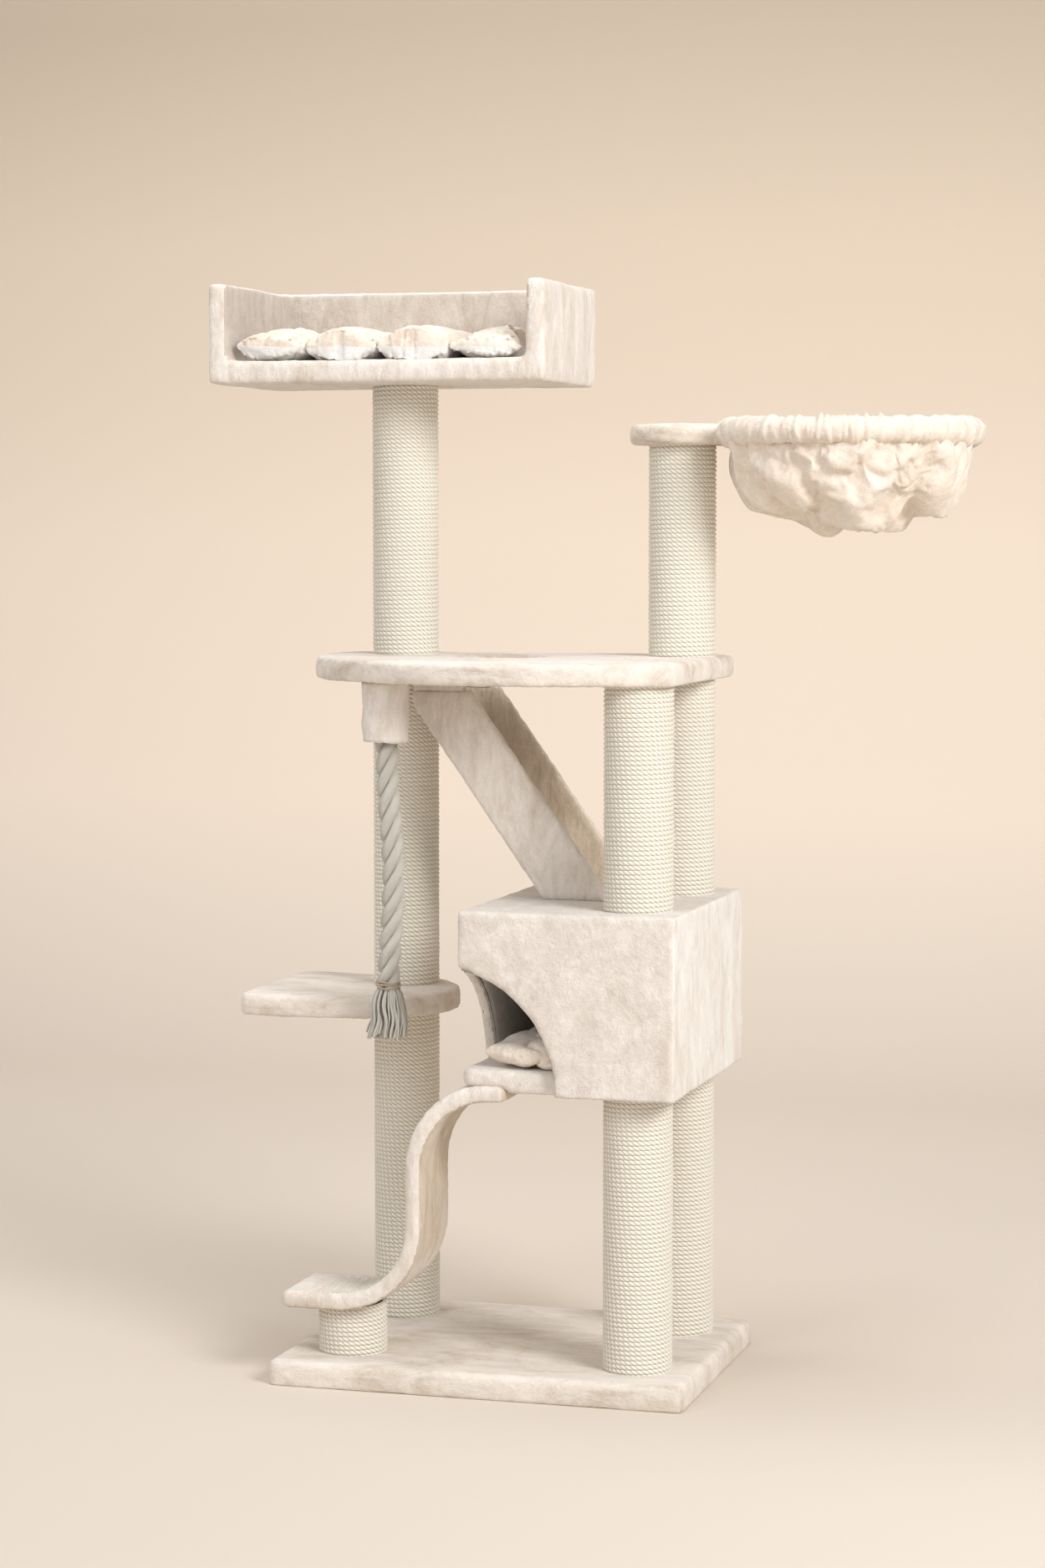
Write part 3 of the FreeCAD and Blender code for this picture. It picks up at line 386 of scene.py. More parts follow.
def wound(line, offset, lay, start):
    """A helix at an offset round a line that hangs almost straight down."""
    made, run = [], 0.0
    for here, place in enumerate(line):
        if here:
            run += (place - line[here - 1]).length
        ahead = (line[min(here + 1, len(line) - 1)] - line[max(here - 1, 0)]).normalized()
        side = (Vector((1, 0, 0)) - ahead * ahead.x).normalized()
        front = side.cross(ahead)
        angle = start + 2 * math.pi * run / lay
        made.append(place + (side * math.cos(angle) - front * math.sin(angle)) * offset)
    return made


rope_line = smooth_line([(x, ROPE_Y, z) for x, z in ROPE_POINTS])
strands = [wound(rope_line, STRAND_OFFSET, LAY, 2 * math.pi * k / 3) for k in range(3)]
rope = piece("toy_rope", cords("toy_rope", strands, STRAND_RADIUS, 4), [cotton], "rope_upper",
             ("rope_upper", "rope_lower"))
rope.parent = None
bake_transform(rope)

# %% [markdown]
# Twine is whipped round the rope's end, a few uneven turns, and below it the strands come undone into
# a tassel of loose yarns. Each yarn is a short cord of its own that spreads as it falls.

# %% Whipping and tassel
rng = random.Random(7)
knot = rope_line[-1]
WHIP_TURNS, WHIP_STEPS, TWINE_RADIUS, WHIP_RADIUS = 4, 40, 0.0016, 0.0205
whip_line = [knot + Vector((WHIP_RADIUS * math.cos(a), WHIP_RADIUS * math.sin(a),
                            0.008 + 0.0045 * math.sin(a * 0.83) + 0.002 * math.sin(a * 2.3)))
             for a in (2 * math.pi * k / WHIP_STEPS for k in range(WHIP_TURNS * WHIP_STEPS))]
whipping = piece("rope_twine", cords("rope_twine", [whip_line], TWINE_RADIUS), [twine], "rope_lower",
                 ("rope_whipping",))
TASSEL_LENGTH, YARNS, YARN_RADIUS, YARN_STEPS = 0.088, 190, 0.0019, 8
TASSEL_NECK, TASSEL_FLARE = 0.018, 0.016


def tassel_yarn():
    """One yarn that leaves the whipping and spreads as it falls, a little crooked."""
    reach, angle = math.sqrt(rng.random()), rng.uniform(0, 2 * math.pi)
    fall = TASSEL_LENGTH * rng.uniform(0.86, 1.0)
    sway = Vector((rng.uniform(-1, 1), rng.uniform(-1, 1), 0)) * 0.003
    line = []
    for step in range(YARN_STEPS + 1):
        down = step / YARN_STEPS
        spread = TASSEL_NECK + TASSEL_FLARE * math.sqrt(down)
        kink = Vector((0.0035 * math.sin(8 * down + 3 * reach), 0, 0))
        bend = sway * math.sin(down * math.pi * 1.5) + kink * down
        line.append(knot + Vector((math.cos(angle), math.sin(angle), 0)) * reach * spread
                    + bend - Vector((0, 0, fall * down - 0.002)))
    return line


yarns = [tassel_yarn() for _ in range(YARNS)]
tassel = piece("rope_ends", cords("rope_ends", yarns, YARN_RADIUS, 1), [cotton], "rope_lower",
               ("rope_tassel",))
print("tassel", YARNS, "yarns,", len(tassel.data.polygons), "faces")

# %% [markdown]
# ## Wound posts
# Each post carries one long sisal cord. A half-round section is spun round the post while it climbs,
# which is just how the cord is wound; cutting the spring flat at both ends gives the finished sleeve.

# %% Sisal winding
PITCH, TURN_STEPS, SECTION = 0.008, 60, 6
CORD_UNEVEN = 0.5 * MM


def one_turn(radius):
    """A single turn of half-round cord, with UVs in metres along it and across it."""
    turn = bmesh.new()
    arc = [turn.verts.new((radius + math.cos(a) * PITCH / 2, 0, math.sin(a) * PITCH / 2))
           for a in (math.pi * (k / SECTION - 0.5) for k in range(SECTION + 1))]
    edges = [turn.edges.new(pair) for pair in zip(arc, arc[1:])]
    bmesh.ops.spin(turn, geom=arc + edges, cent=(0, 0, 0), axis=(0, 0, 1),
                   dvec=(0, 0, PITCH / TURN_STEPS), angle=2 * math.pi, steps=TURN_STEPS)
    unwrap = turn.loops.layers.uv.new("UVMap")
    for face in turn.faces:
        centre = face.calc_center_median()
        middle_angle = math.atan2(centre.y, centre.x) % (2 * math.pi)
        for loop in face.loops:
            angle = math.atan2(loop.vert.co.y, loop.vert.co.x)
            angle += 2 * math.pi * round((middle_angle - angle) / (2 * math.pi))
            loop[unwrap].uv = (angle * radius, loop.vert.co.z - angle / (2 * math.pi) * PITCH)
    bmesh.ops.recalc_face_normals(turn, faces=turn.faces)
    return turn


def winding(node, count):
    """Stack turns into one spring, cut it flat at both ends and make the cord a little uneven."""
    low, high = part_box(node)
    centre = (low + high) / 2
    radius = (high.x - low.x) / 2 - PITCH / 2
    holder = put("turn", as_mesh("turn", one_turn(radius)))
    stack = holder.modifiers.new("stack", "ARRAY")
    stack.use_relative_offset, stack.use_constant_offset = False, True
    stack.constant_offset_displace = (0, 0, PITCH)
    stack.count = math.ceil((high.z - low.z) / PITCH) + 2
    stack.use_merge_vertices, stack.merge_threshold = True, 0.05 * MM
    stack.offset_u = 2 * math.pi * radius
    shape = opened(applied(holder))
    bmesh.ops.translate(shape, vec=(0, 0, low.z - PITCH), verts=shape.verts)
    for level, way in ((low.z, -1), (high.z, 1)):
        cut = bmesh.ops.bisect_plane(shape, geom=shape.verts[:] + shape.edges[:] + shape.faces[:],
                                     plane_co=(0, 0, level), plane_no=(0, 0, way), clear_outer=True)
        rim = [edge for edge in cut["geom_cut"] if isinstance(edge, bmesh.types.BMEdge)]
        bmesh.ops.holes_fill(shape, edges=rim, sides=0)
    for vert in shape.verts:
        if low.z + PITCH / 4 < vert.co.z < high.z - PITCH / 4:
            around = Vector((vert.co.x, vert.co.y, 0)).normalized()
            vert.co += around * CORD_UNEVEN * noise.noise(Vector((count * 3.1, 0, 0)) + vert.co * 60)
    bmesh.ops.translate(shape, vec=(centre.x, centre.y, 0), verts=shape.verts)
    return piece(node.replace("_sisal", "_winding"), shape, [sisal], "tree", (node,))


for count, node in enumerate(sorted(name for name in frame["nodes"] if name.endswith("post_sisal"))):
    made = winding(node, count)
    print(made.name, len(made.data.polygons), "faces")

# %% [markdown]
# ## Plush boards
# Plush wraps each board in one thick layer. The outline comes from the model's own top face, is pushed
# through to a board, melted to an even mesh and rubbed round at its edges, then tousled.

# %% Boards and walls
VOXEL = 0.0055
PILE, FILL_OUT, EDGE_ROUND = 0.0011, 0.0012, 0.008


def drop_edge(shape, level):
    """Lower the bottom edge before melting, so that rounding leaves no board showing underneath."""
    for vert in shape.verts:
        if vert.co.z < level + 1 * MM:
            vert.co.z -= EDGE_ROUND
    return shape


def nap(shape, seed, floor=None):
    """Fill out what rounding took away, then add soft hollows and the tips of the pile."""
    shape.normal_update()
    for vert in shape.verts:
        vert.co += vert.normal * FILL_OUT
        if floor is not None:
            vert.co.z = max(vert.co.z, floor)
    tousle(shape, 1.2 * MM, 0.09, seed)
    return tousle(shape, PILE, 0.011, seed + 5)


def block(low, high):
    shape = bmesh.new()
    bmesh.ops.create_cube(shape, size=1)
    bmesh.ops.scale(shape, vec=Vector(high) - Vector(low), verts=shape.verts)
    bmesh.ops.translate(shape, vec=(Vector(low) + Vector(high)) / 2, verts=shape.verts)
    return shape


def keep_side(sheet, place, direction):
    """Trim a sheet to the side of a plane that its direction points away from."""
    bmesh.ops.bisect_plane(sheet, geom=sheet.verts[:] + sheet.edges[:] + sheet.faces[:], plane_co=place,
                           plane_no=direction, clear_outer=True)
    return sheet


FLAT_BOARDS = (("base_plush", "base_cover", 0.5 * MM), ("shelf_plush", "shelf_cover", 0),
               ("platform_plush", "platform_cover", 0))
for count, (name, node, lift) in enumerate(FLAT_BOARDS):
    low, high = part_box(node)
    board = thicken(side_sheet(node, (0, 0, 1)), (0, 0, low.z + lift - high.z))
    if lift:
        drop_edge(board, low.z)
    shape = cushioned([board], VOXEL)
    made = piece(name, nap(shape, count * 11, low.z + lift), [plush_top], "tree", (node,))
    print(name, len(made.data.polygons), "faces")

# %% [markdown]
# The house is five walls melted into one. Its outside is brushed plush, and its right side takes the
# lighter copy, a painted highlight where the key light falls. Every face that looks inwards gets a lining,
# a second cloth as a sewn house has, painted paler than the outside as painted light for the shaded inside.

# %% House walls
HOUSE_WALL = 0.023
# painted light: the lining's colours are pale to stand in for light that the inside of the house does not
# get
lining_painted_light = plush("house_lining", srgb(240, 236, 230), srgb(226, 222, 216), streak=(1, 1, 1), patch=20)
house_low, house_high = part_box("house_cover")
walls = [drop_edge(thicken(side_sheet("house_cover", way), Vector(way) * -HOUSE_WALL), house_low.z)
         for way in ((0, -1, 0), (0, 1, 0), (1, 0, 0), (-1, 0, 0), (0, 0, 1))]
house = nap(cushioned(walls, VOXEL), 40, house_low.z)
house.normal_update()
house_middle = middle("house_cover")
for face in house.faces:
    centre = face.calc_center_median()
    deep = min(centre.x - house_low.x, centre.y - house_low.y, house_high.x - centre.x,
               house_high.y - centre.y, house_high.z - centre.z)
    # painted light: inward faces take the pale lining; faces turned to the right take the lighter plush, a
    # painted highlight
    if deep > 0.9 * HOUSE_WALL and face.normal.dot(house_middle - centre) > 0:
        face.material_index = 1
    elif face.normal.x > 0.7:
        face.material_index = 2
made = piece("house_plush", house, [plush_house, lining_painted_light, plush_painted_highlight], "tree", ("house_cover",))
print(made.name, len(made.data.polygons), "faces")

# %% House floor
TONGUE_GAP = 2 * MM
floor_low, floor_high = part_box("house_floor_cover")
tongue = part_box("ramp_cover")[1]
over_tongue = (0, 0, tongue.z - floor_high.z - 1.5 * MM)
full_depth = (0, 0, floor_low.z - floor_high.z)


def floor_sheet():
    return side_sheet("house_floor_cover", (0, 0, 1))


floor_parts = [
    thicken(floor_sheet(), over_tongue),
    thicken(keep_side(floor_sheet(), (tongue.x + TONGUE_GAP, 0, 0), (-1, 0, 0)), full_depth),
    thicken(keep_side(floor_sheet(), (0, tongue.y + TONGUE_GAP, 0), (0, -1, 0)), full_depth),
]
piece("house_floor_plush", nap(cushioned(floor_parts, VOXEL), 50), [plush_house], "tree",
      ("house_floor_cover",))

# %% [markdown]
# The chute is a gutter: two sides and a slanted bottom, open at the top. The slanted board is the side
# sheet cut along the slope, so the three parts meet without gaps. Faces between the sides take the darker
# plush, a painted shade.

# %% Chute
CHUTE_SLOPE, CHUTE_WALL = math.radians(54.65), 0.022
chute_low, chute_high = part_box("chute_cover")
near_side = side_sheet("chute_cover", (0, -1, 0))
foot = min((vert.co for vert in near_side.verts if vert.co.z < chute_low.z + 1 * MM),
           key=lambda co: co.x).copy()
across_slope = Vector((math.sin(CHUTE_SLOPE), 0, math.cos(CHUTE_SLOPE)))
bottom = keep_side(side_sheet("chute_cover", (0, -1, 0)), foot + across_slope * CHUTE_WALL, across_slope)
chute_parts = [thicken(near_side, (0, CHUTE_WALL, 0)),
               thicken(side_sheet("chute_cover", (0, 1, 0)), (0, -CHUTE_WALL, 0)),
               thicken(bottom, (0, chute_high.y - chute_low.y, 0))]
chute_shape = nap(cushioned(chute_parts, VOXEL), 60)
chute_shape.normal_update()
chute_middle_y = middle("chute_cover").y
# painted shade: faces that look into the gutter take the darker plush
for face in chute_shape.faces:
    away = face.calc_center_median().y - chute_middle_y
    face.material_index = int(face.normal.y * away < -0.5 * abs(away))
piece("chute_plush", chute_shape, [plush_side, plush_painted_shade], "tree", ("chute_cover",))

# %% Curved ramp
ramp_low, ramp_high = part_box("ramp_cover")
ramp_body = thicken(side_sheet("ramp_cover", (0, -1, 0)), (0, ramp_high.y - ramp_low.y, 0))
ramp_shape = nap(cushioned([ramp_body], VOXEL), 70)
ramp_shape.normal_update()
# painted shade: faces along the ramp's edge that turn right or down take the darker plush
for face in ramp_shape.faces:
    face.material_index = int(abs(face.normal.y) < 0.6
                              and (face.normal.x > 0.2 or face.normal.z < -0.3))
piece("ramp_plush", ramp_shape, [plush_side, plush_painted_shade], "tree", ("ramp_cover",))

# %% [markdown]
# The bed is an open box with a cut-away front. Plain blocks melt into it, and the faces that look into
# the box take a darker plush, a painted shade for the inside of the box.

# %% Bed walls
BED_WALL = 0.034
bed_low, bed_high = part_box("bed_cover")
bed_floor_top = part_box("bed_floor_board")[1].z + 5 * MM
bed_parts = [
    block(bed_low, (bed_low.x + BED_WALL, bed_high.y, bed_high.z)),
    block((bed_high.x - BED_WALL, bed_low.y, bed_low.z), bed_high),
    block((bed_low.x, bed_high.y - BED_WALL, bed_low.z), bed_high),
    block(bed_low, (bed_high.x, bed_high.y, bed_floor_top)),
]
bed_shape = nap(cushioned(bed_parts, VOXEL), 80)
bed_shape.normal_update()
bed_middle = middle("bed_cover")
# painted shade: inner faces above the bed's floor take the darker plush
for face in bed_shape.faces:
    centre = face.calc_center_median()
    deep = min(centre.x - bed_low.x, bed_high.x - centre.x, bed_high.y - centre.y)
    face.material_index = int(deep > BED_WALL / 2 and face.normal.z < 0.7 and centre.z > bed_floor_top
                              and face.normal.dot(bed_middle - centre) > 0)
piece("bed_plush", bed_shape, [plush_side, plush_inside_painted_shade], "tree", ("bed_cover",))

# %% Hammock plate
NECK_HALF_WIDTH, NECK_REACH = 0.058, 0.020
plate_low, plate_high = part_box("hammock_plate_cover")
plate = thicken(side_sheet("hammock_plate_cover", (0, 0, 1)), (0, 0, plate_low.z - plate_high.z))
plate_middle = middle("hammock_plate_cover")
neck = block((plate_middle.x, plate_middle.y - NECK_HALF_WIDTH, plate_low.z),
             (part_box("hammock_bag")[0].x + NECK_REACH, plate_middle.y + NECK_HALF_WIDTH, plate_high.z))
piece("hammock_plate_plush", nap(cushioned([plate, neck], VOXEL), 90), [plush_top], "hammock",
      ("hammock_plate_cover",))

# %% Rope sleeve
sleeve_low, sleeve_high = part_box("rope_sleeve")
sleeve_middle = middle("rope_sleeve")
SLEEVE_WALL, SLEEVE_CUTS, SLEEVE_STEPS = 0.006, 16, 64
sleeve_radius = (sleeve_high.x - sleeve_low.x) / 2 - 1 * MM
sleeve = bmesh.new()
corners = [sleeve.verts.new((sleeve_radius - inward, 0, level))
           for inward, level in ((0, sleeve_low.z), (0, sleeve_high.z), (SLEEVE_WALL, sleeve_high.z),
                                 (SLEEVE_WALL, sleeve_low.z))]
ring = [sleeve.edges.new(pair) for pair in zip(corners, corners[1:] + corners[:1])]
bmesh.ops.subdivide_edges(sleeve, edges=[ring[0], ring[2]], cuts=SLEEVE_CUTS)
bmesh.ops.spin(sleeve, geom=sleeve.verts[:] + sleeve.edges[:], cent=(0, 0, 0), axis=(0, 0, 1),
               angle=2 * math.pi, steps=SLEEVE_STEPS, use_merge=True)
bmesh.ops.translate(sleeve, vec=(sleeve_middle.x, sleeve_middle.y, 0), verts=sleeve.verts)
bmesh.ops.recalc_face_normals(sleeve, faces=sleeve.faces)
tousle(sleeve, 3.5 * MM, 0.035, 3)
piece("sleeve_plush", tousle(sleeve, PILE, 0.009, 4), [plush_side], "tree", ("rope_sleeve",))

# %% [markdown]
# ## Sisal mat on the ramp
# A strip of woven sisal lies in the ramp's foot and bends up with it. Its rows are real cords laid
# across the strip, placed one pitch apart along a line that runs flat and then round the bend.

# %% Mat rows
mat_low, mat_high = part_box("ramp_sisal_mat")
MAT_BEND_X, MAT_BEND_Z, MAT_BEND = -0.252, 0.280, math.radians(45)
ROW, ROW_FILL, ROW_STEPS = 0.0088, 0.86, 10
mat_radius = MAT_BEND_Z - (mat_low.z + 2 * MM)
mat_flat = MAT_BEND_X - mat_low.x
rows = []
for row in range(round((mat_flat + mat_radius * MAT_BEND) / ROW)):
    run = (row + 0.5) * ROW
    bend = max(run - mat_flat, 0) / mat_radius
    x = mat_low.x + min(run, mat_flat) + mat_radius * math.sin(bend)
    z = MAT_BEND_Z - mat_radius * math.cos(bend)
    sway = (noise.noise(Vector((row * 0.9, 0, 0))), noise.noise(Vector((row * 0.9, 4, 0))))
    rows.append([Vector((x, mat_low.y + (mat_high.y - mat_low.y) * k / ROW_STEPS, z + sway[k % 2] * MM))
                 for k in range(ROW_STEPS + 1)])
piece("ramp_mat_rows", cords("ramp_mat_rows", rows, ROW / 2 * ROW_FILL), [sisal], "tree",
      ("ramp_sisal_mat",))
print(len(rows), "rows in the mat")

# %% [markdown]
# ## Cushions
# A quilted cushion is two cloths sewn together round the edge and along a few lines. That is how it is
# made here: the two grids share their points on the seams, and cloth simulation blows the pockets up,
# which gives the puckers beside each seam for free.

# %% Sewn pads
def settle(cloth, frames):
    """Step a cloth simulation from its first moment to its last."""
    cloth.point_cache.frame_start, cloth.point_cache.frame_end = 1, frames
    for moment in range(1, frames + 1):
        bpy.context.scene.frame_set(moment)


def sewn_pad(name, columns, rows, lobes, size, frames, pressure):
    """Two grids joined at the rim and at the seams between lobes, then inflated as cloth."""
    pad = bmesh.new()
    seams = {round(columns * k / lobes) for k in range(lobes + 1)}
    for level in (-1, 1):
        cloth_side = bmesh.ops.create_grid(pad, x_segments=columns, y_segments=rows,
                                           size=0.5)["verts"]
        for vert in cloth_side:
            column, row = round((vert.co.x + 0.5) * columns), round((vert.co.y + 0.5) * rows)
            on_seam = column in seams or row in (0, rows)
            vert.co = (size[0] * vert.co.x, size[1] * vert.co.y, 0 if on_seam else level * 2 * MM)
        if level < 0:
            bmesh.ops.reverse_faces(pad, faces=pad.faces[:])
            for face in pad.faces:
                face.material_index = 1
    bmesh.ops.remove_doubles(pad, verts=pad.verts, dist=0.5 * MM)
    holder = put(name, as_mesh(name, pad))
    cloth = holder.modifiers.new("cloth", "CLOTH")
    cloth.settings.use_pressure, cloth.settings.uniform_pressure_force = True, pressure
    cloth.settings.effector_weights.gravity = 0
    cloth.settings.quality, cloth.settings.mass = 6, 0.25
    cloth.settings.tension_stiffness = cloth.settings.compression_stiffness = 40
    cloth.settings.bending_stiffness = 0.3
    cloth.settings.tension_damping = cloth.settings.compression_damping = 10
    settle(cloth, frames)
    puffed = applied(holder)
    bpy.context.scene.frame_set(1)
    return opened(puffed)


# %% [markdown]
# The simulation gives the puckers but not the exact size. The pad is brought to its room in the bed or
# the house: the ends of its lobes get into line, its corners round off, and it lies flat underneath.

# %% Fitting a pad
SEAM_PINCH, SEAM_FADE = 0.035, 12 * MM


def fit_pad(shape, low, high, seam_height, lobes, round_corner, puff):
    """Bring a pad to its room: full round lobes, ends in line, a rim seam and a flat underside."""
    reach = [max(abs(vert.co[k]) for vert in shape.verts) for k in (0, 1)]
    room = [(high[k] - low[k]) / 2 for k in (0, 1)]
    columns = {}
    for vert in shape.verts:
        lobe = min(int((vert.co.x / reach[0] + 1) / 2 * lobes), lobes - 1)
        slot = round((vert.co.x / reach[0] + 1) * 20 * lobes)
        long, tall = columns.get(slot, (0, 0))
        columns[slot] = (max(long, abs(vert.co.y)), tall)
        columns["lobe", lobe] = max(columns.get(("lobe", lobe), 0), vert.co.z)
    for vert in shape.verts:
        across = vert.co.x / reach[0]
        lobe = min(int((across + 1) / 2 * lobes), lobes - 1)
        phase = ((across + 1) / 2 * lobes) % 1
        pinch = SEAM_PINCH * abs(math.cos(math.pi * phase)) ** 8
        along = vert.co.y / max(columns[round((across + 1) * 20 * lobes)][0], 1e-6)
        corner = 1 - round_corner * (abs(across) * abs(along)) ** 4
        up = vert.co.z / columns["lobe", lobe]
        tall = (high.z - low.z - seam_height) * (1 - 0.10 * ((lobe * 2) % 3) / 2)
        vert.co.x = (low.x + high.x) / 2 + across * room[0] * corner
        vert.co.y = (low.y + high.y) / 2 + along * room[1] * corner * (1 - pinch)
        if up > 0:
            vert.co.z = low.z + seam_height + up ** puff * tall
        else:
            vert.co.z = max(low.z + seam_height - (-up) ** puff * tall, low.z)
    return shape


def wrinkled(shape, height, scale, seed, seam):
    """Folds of loose cloth: plump between sharp wandering lines, fading out beside the seam."""
    shape.normal_update()
    for vert in shape.verts:
        share = min(abs(vert.co.z - seam) / SEAM_FADE, 1.0)
        place = (vert.co + Vector((seed, 0, 0))) * scale
        fold = min(abs(noise.noise(place + Vector((0, 0, noise.noise(place * 0.7) * 1.5)))) / 0.42, 1.0)
        vert.co += vert.normal * share * height * ((1 - (1 - fold) ** 2) ** 0.5 - 0.8)
    return shape


def pad_size(shape):
    return [round(max(v.co[k] for v in shape.verts) - min(v.co[k] for v in shape.verts), 3)
            for k in range(3)]


# %% Bed pad
PAD_PILE = 0.8 * MM
BED_LOBES, BED_SEAM, BED_CROWN, BED_PAD_FLAT = 4, 0.024, 6 * MM, (0.640, 0.340)
bed_pad_low, bed_pad_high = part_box("bed_cushion")
cushion_top = plush("cushion_top", srgb(244, 232, 218), srgb(226, 206, 184), streak=(1, 1, 1), patch=22)
cushion_under = plush("cushion_under", srgb(246, 244, 240), srgb(238, 235, 230), streak=(1, 1, 1),
                      patch=30)
pad_frames = 30
bed_pad = sewn_pad("bed_pad", 104, 52, BED_LOBES, BED_PAD_FLAT, pad_frames, 6)
print("bed pad", pad_size(bed_pad))
fit_pad(bed_pad, bed_pad_low, bed_pad_high + Vector((0, 0, BED_CROWN)), BED_SEAM, BED_LOBES, 0.02, 0.8)
bmesh.ops.subdivide_edges(bed_pad, edges=bed_pad.edges, cuts=1, use_grid_fill=True, smooth=0.0)
rub(bed_pad, 0.4)
wrinkled(bed_pad, 6 * MM, 16, 2, bed_pad_low.z + BED_SEAM)
bed_pad = piece("bed_pad", tousle(bed_pad, PAD_PILE, 0.012, 9), [cushion_top, cushion_under],
                "bed_cushion", ("bed_cushion",))

# %% House pad
HOUSE_SEAM, HOUSE_PAD_FLAT = 0.026, (0.400, 0.520)
house_pad_low, house_pad_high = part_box("house_cushion")
house_pad = sewn_pad("house_pad", 66, 88, 1, HOUSE_PAD_FLAT, pad_frames, 3)
print("house pad", pad_size(house_pad))
fit_pad(house_pad, house_pad_low, house_pad_high, HOUSE_SEAM, 1, 0.06, 0.45)
bmesh.ops.subdivide_edges(house_pad, edges=house_pad.edges, cuts=1, use_grid_fill=True, smooth=0.0)
rub(house_pad, 0.4)
wrinkled(house_pad, 11 * MM, 15, 5, house_pad_low.z + HOUSE_SEAM)
house_pad = piece("house_pad", tousle(house_pad, PAD_PILE, 0.012, 22), [cushion_top, cushion_top],
                  "house_cushion", ("house_cushion",))

# %% [markdown]
# ## Hammock bag
# The bag is one round of long plush, drawn in under a hoop. Too much cloth for its bowl is what makes
# it crease, so the folds come from a cloth simulation: a smooth bowl is held at its rim, its cloth
# grows, and the extra has to fold. Faint wandering lines hold it in, as stitches and old creases do.

# %% Bag sizes
bag_low, bag_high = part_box("hammock_bag")
BAG_MIDDLE_X = 0.562
bag_centre = Vector((BAG_MIDDLE_X, (bag_low.y + bag_high.y) / 2, 0))
BAG_RADIUS, BAG_DEPTH, BAG_WALL, BAG_FULLNESS, BAG_WIDEST = 0.216, 0.140, 0.008, 0.24, 0.226
RIM_RADIUS, RIM_HALF_WIDTH, RIM_HALF_HEIGHT = 0.208, 0.024, 0.024
bag_rim_height = bag_high.z - RIM_HALF_HEIGHT - 1 * MM
BAG_CELLS, BAG_SPREAD = 88, math.radians(84)
HELD, LOOSE, HOLD_WIDTH = 0.5, 0.05, 0.05
bag_material = plush("bag_plush", srgb(240, 228, 214), srgb(230, 214, 197), streak=(1, 1, 1), patch=26,
                     pile=0.45)
print("bag rim at", round(bag_rim_height, 3))


# %% Bowl before it creases
def disc(u, v):
    """A square grid's point moved to the round disc, so that the cloth has even cells all over."""
    if abs(u) > abs(v):
        return u * math.cos(math.pi / 4 * v / u), u * math.sin(math.pi / 4 * v / u)
    angle = math.pi / 4 * u / v if v else 0
    return v * math.sin(angle), v * math.cos(angle)


def bag_bowl():
    """The bowl before it creases: even cells with a little unevenness to start the folds."""
    bowl = bmesh.new()
    bmesh.ops.create_grid(bowl, x_segments=BAG_CELLS, y_segments=BAG_CELLS, size=1)
    bmesh.ops.reverse_faces(bowl, faces=bowl.faces[:])
    for vert in bowl.verts:
        x, y = disc(vert.co.x, vert.co.y)
        reach = math.hypot(x, y)
        angle = reach * BAG_SPREAD
        out = BAG_RADIUS * math.sin(angle) / math.sin(BAG_SPREAD) / max(reach, 1e-9)
        down = BAG_DEPTH * (math.cos(angle) - math.cos(BAG_SPREAD)) / (1 - math.cos(BAG_SPREAD))
        place = Vector((x * out, y * out, -down))
        vert.co = place + place.normalized() * 4 * MM * noise.noise(place * 18)
    return bowl


def tucked(place):
    """How firmly a point of the bag is held in: firm along wandering lines, loose between them."""
    far = place * 8
    bent = far + 0.7 * Vector((noise.noise(far * 0.8), noise.noise(far * 0.8 + Vector((4, 0, 0))),
                               noise.noise(far * 0.8 + Vector((0, 4, 0)))))
    return HELD if abs(noise.noise(bent)) < HOLD_WIDTH else LOOSE


# %% Creasing the bowl
def creased(bowl, frames):
    """Let the bowl's cloth grow by a quarter while its rim is held, so that it must fold."""
    grips = [1.0 if vert.is_boundary else tucked(vert.co) for vert in bowl.verts]
    holder = put("bowl", as_mesh("bowl", bowl))
    hold = holder.vertex_groups.new(name="hold")
    for point, grip in enumerate(grips):
        hold.add([point], grip, "REPLACE")
    cloth = holder.modifiers.new("cloth", "CLOTH")
    cloth.settings.vertex_group_mass = "hold"
    cloth.settings.shrink_min = -BAG_FULLNESS
    cloth.settings.use_pressure, cloth.settings.uniform_pressure_force = True, 1.0
    cloth.settings.effector_weights.gravity = 0.1
    cloth.settings.quality, cloth.settings.mass = 7, 0.2
    cloth.settings.tension_stiffness = cloth.settings.compression_stiffness = 30
    cloth.settings.shear_stiffness, cloth.settings.bending_stiffness = 10, 2
    cloth.settings.tension_damping = cloth.settings.compression_damping = 8
    settle(cloth, frames)
    wall = holder.modifiers.new("wall", "SOLIDIFY")
    wall.thickness = BAG_WALL
    finer = holder.modifiers.new("finer", "SUBSURF")
    finer.levels = finer.render_levels = 1
    folded = applied(holder)
    bpy.context.scene.frame_set(1)
    return folded


# %% [markdown]
# The rim is a thick roll round the hoop. A circle spun round the bag's middle makes it, and two sizes
# of puckers press it in where the cloth is gathered. Then the creased bowl joins it below.

# %% Rim and whole bag
RIM_SECTION, RIM_STEPS, RIM_PUCKER = 32, 420, 0.011


def crease(place, width):
    """Zero on a wandering line, swelling like a soft roll beside it."""
    share = min(abs(noise.noise(place)) / width, 1.0)
    return math.sqrt(1 - (1 - share) ** 2)


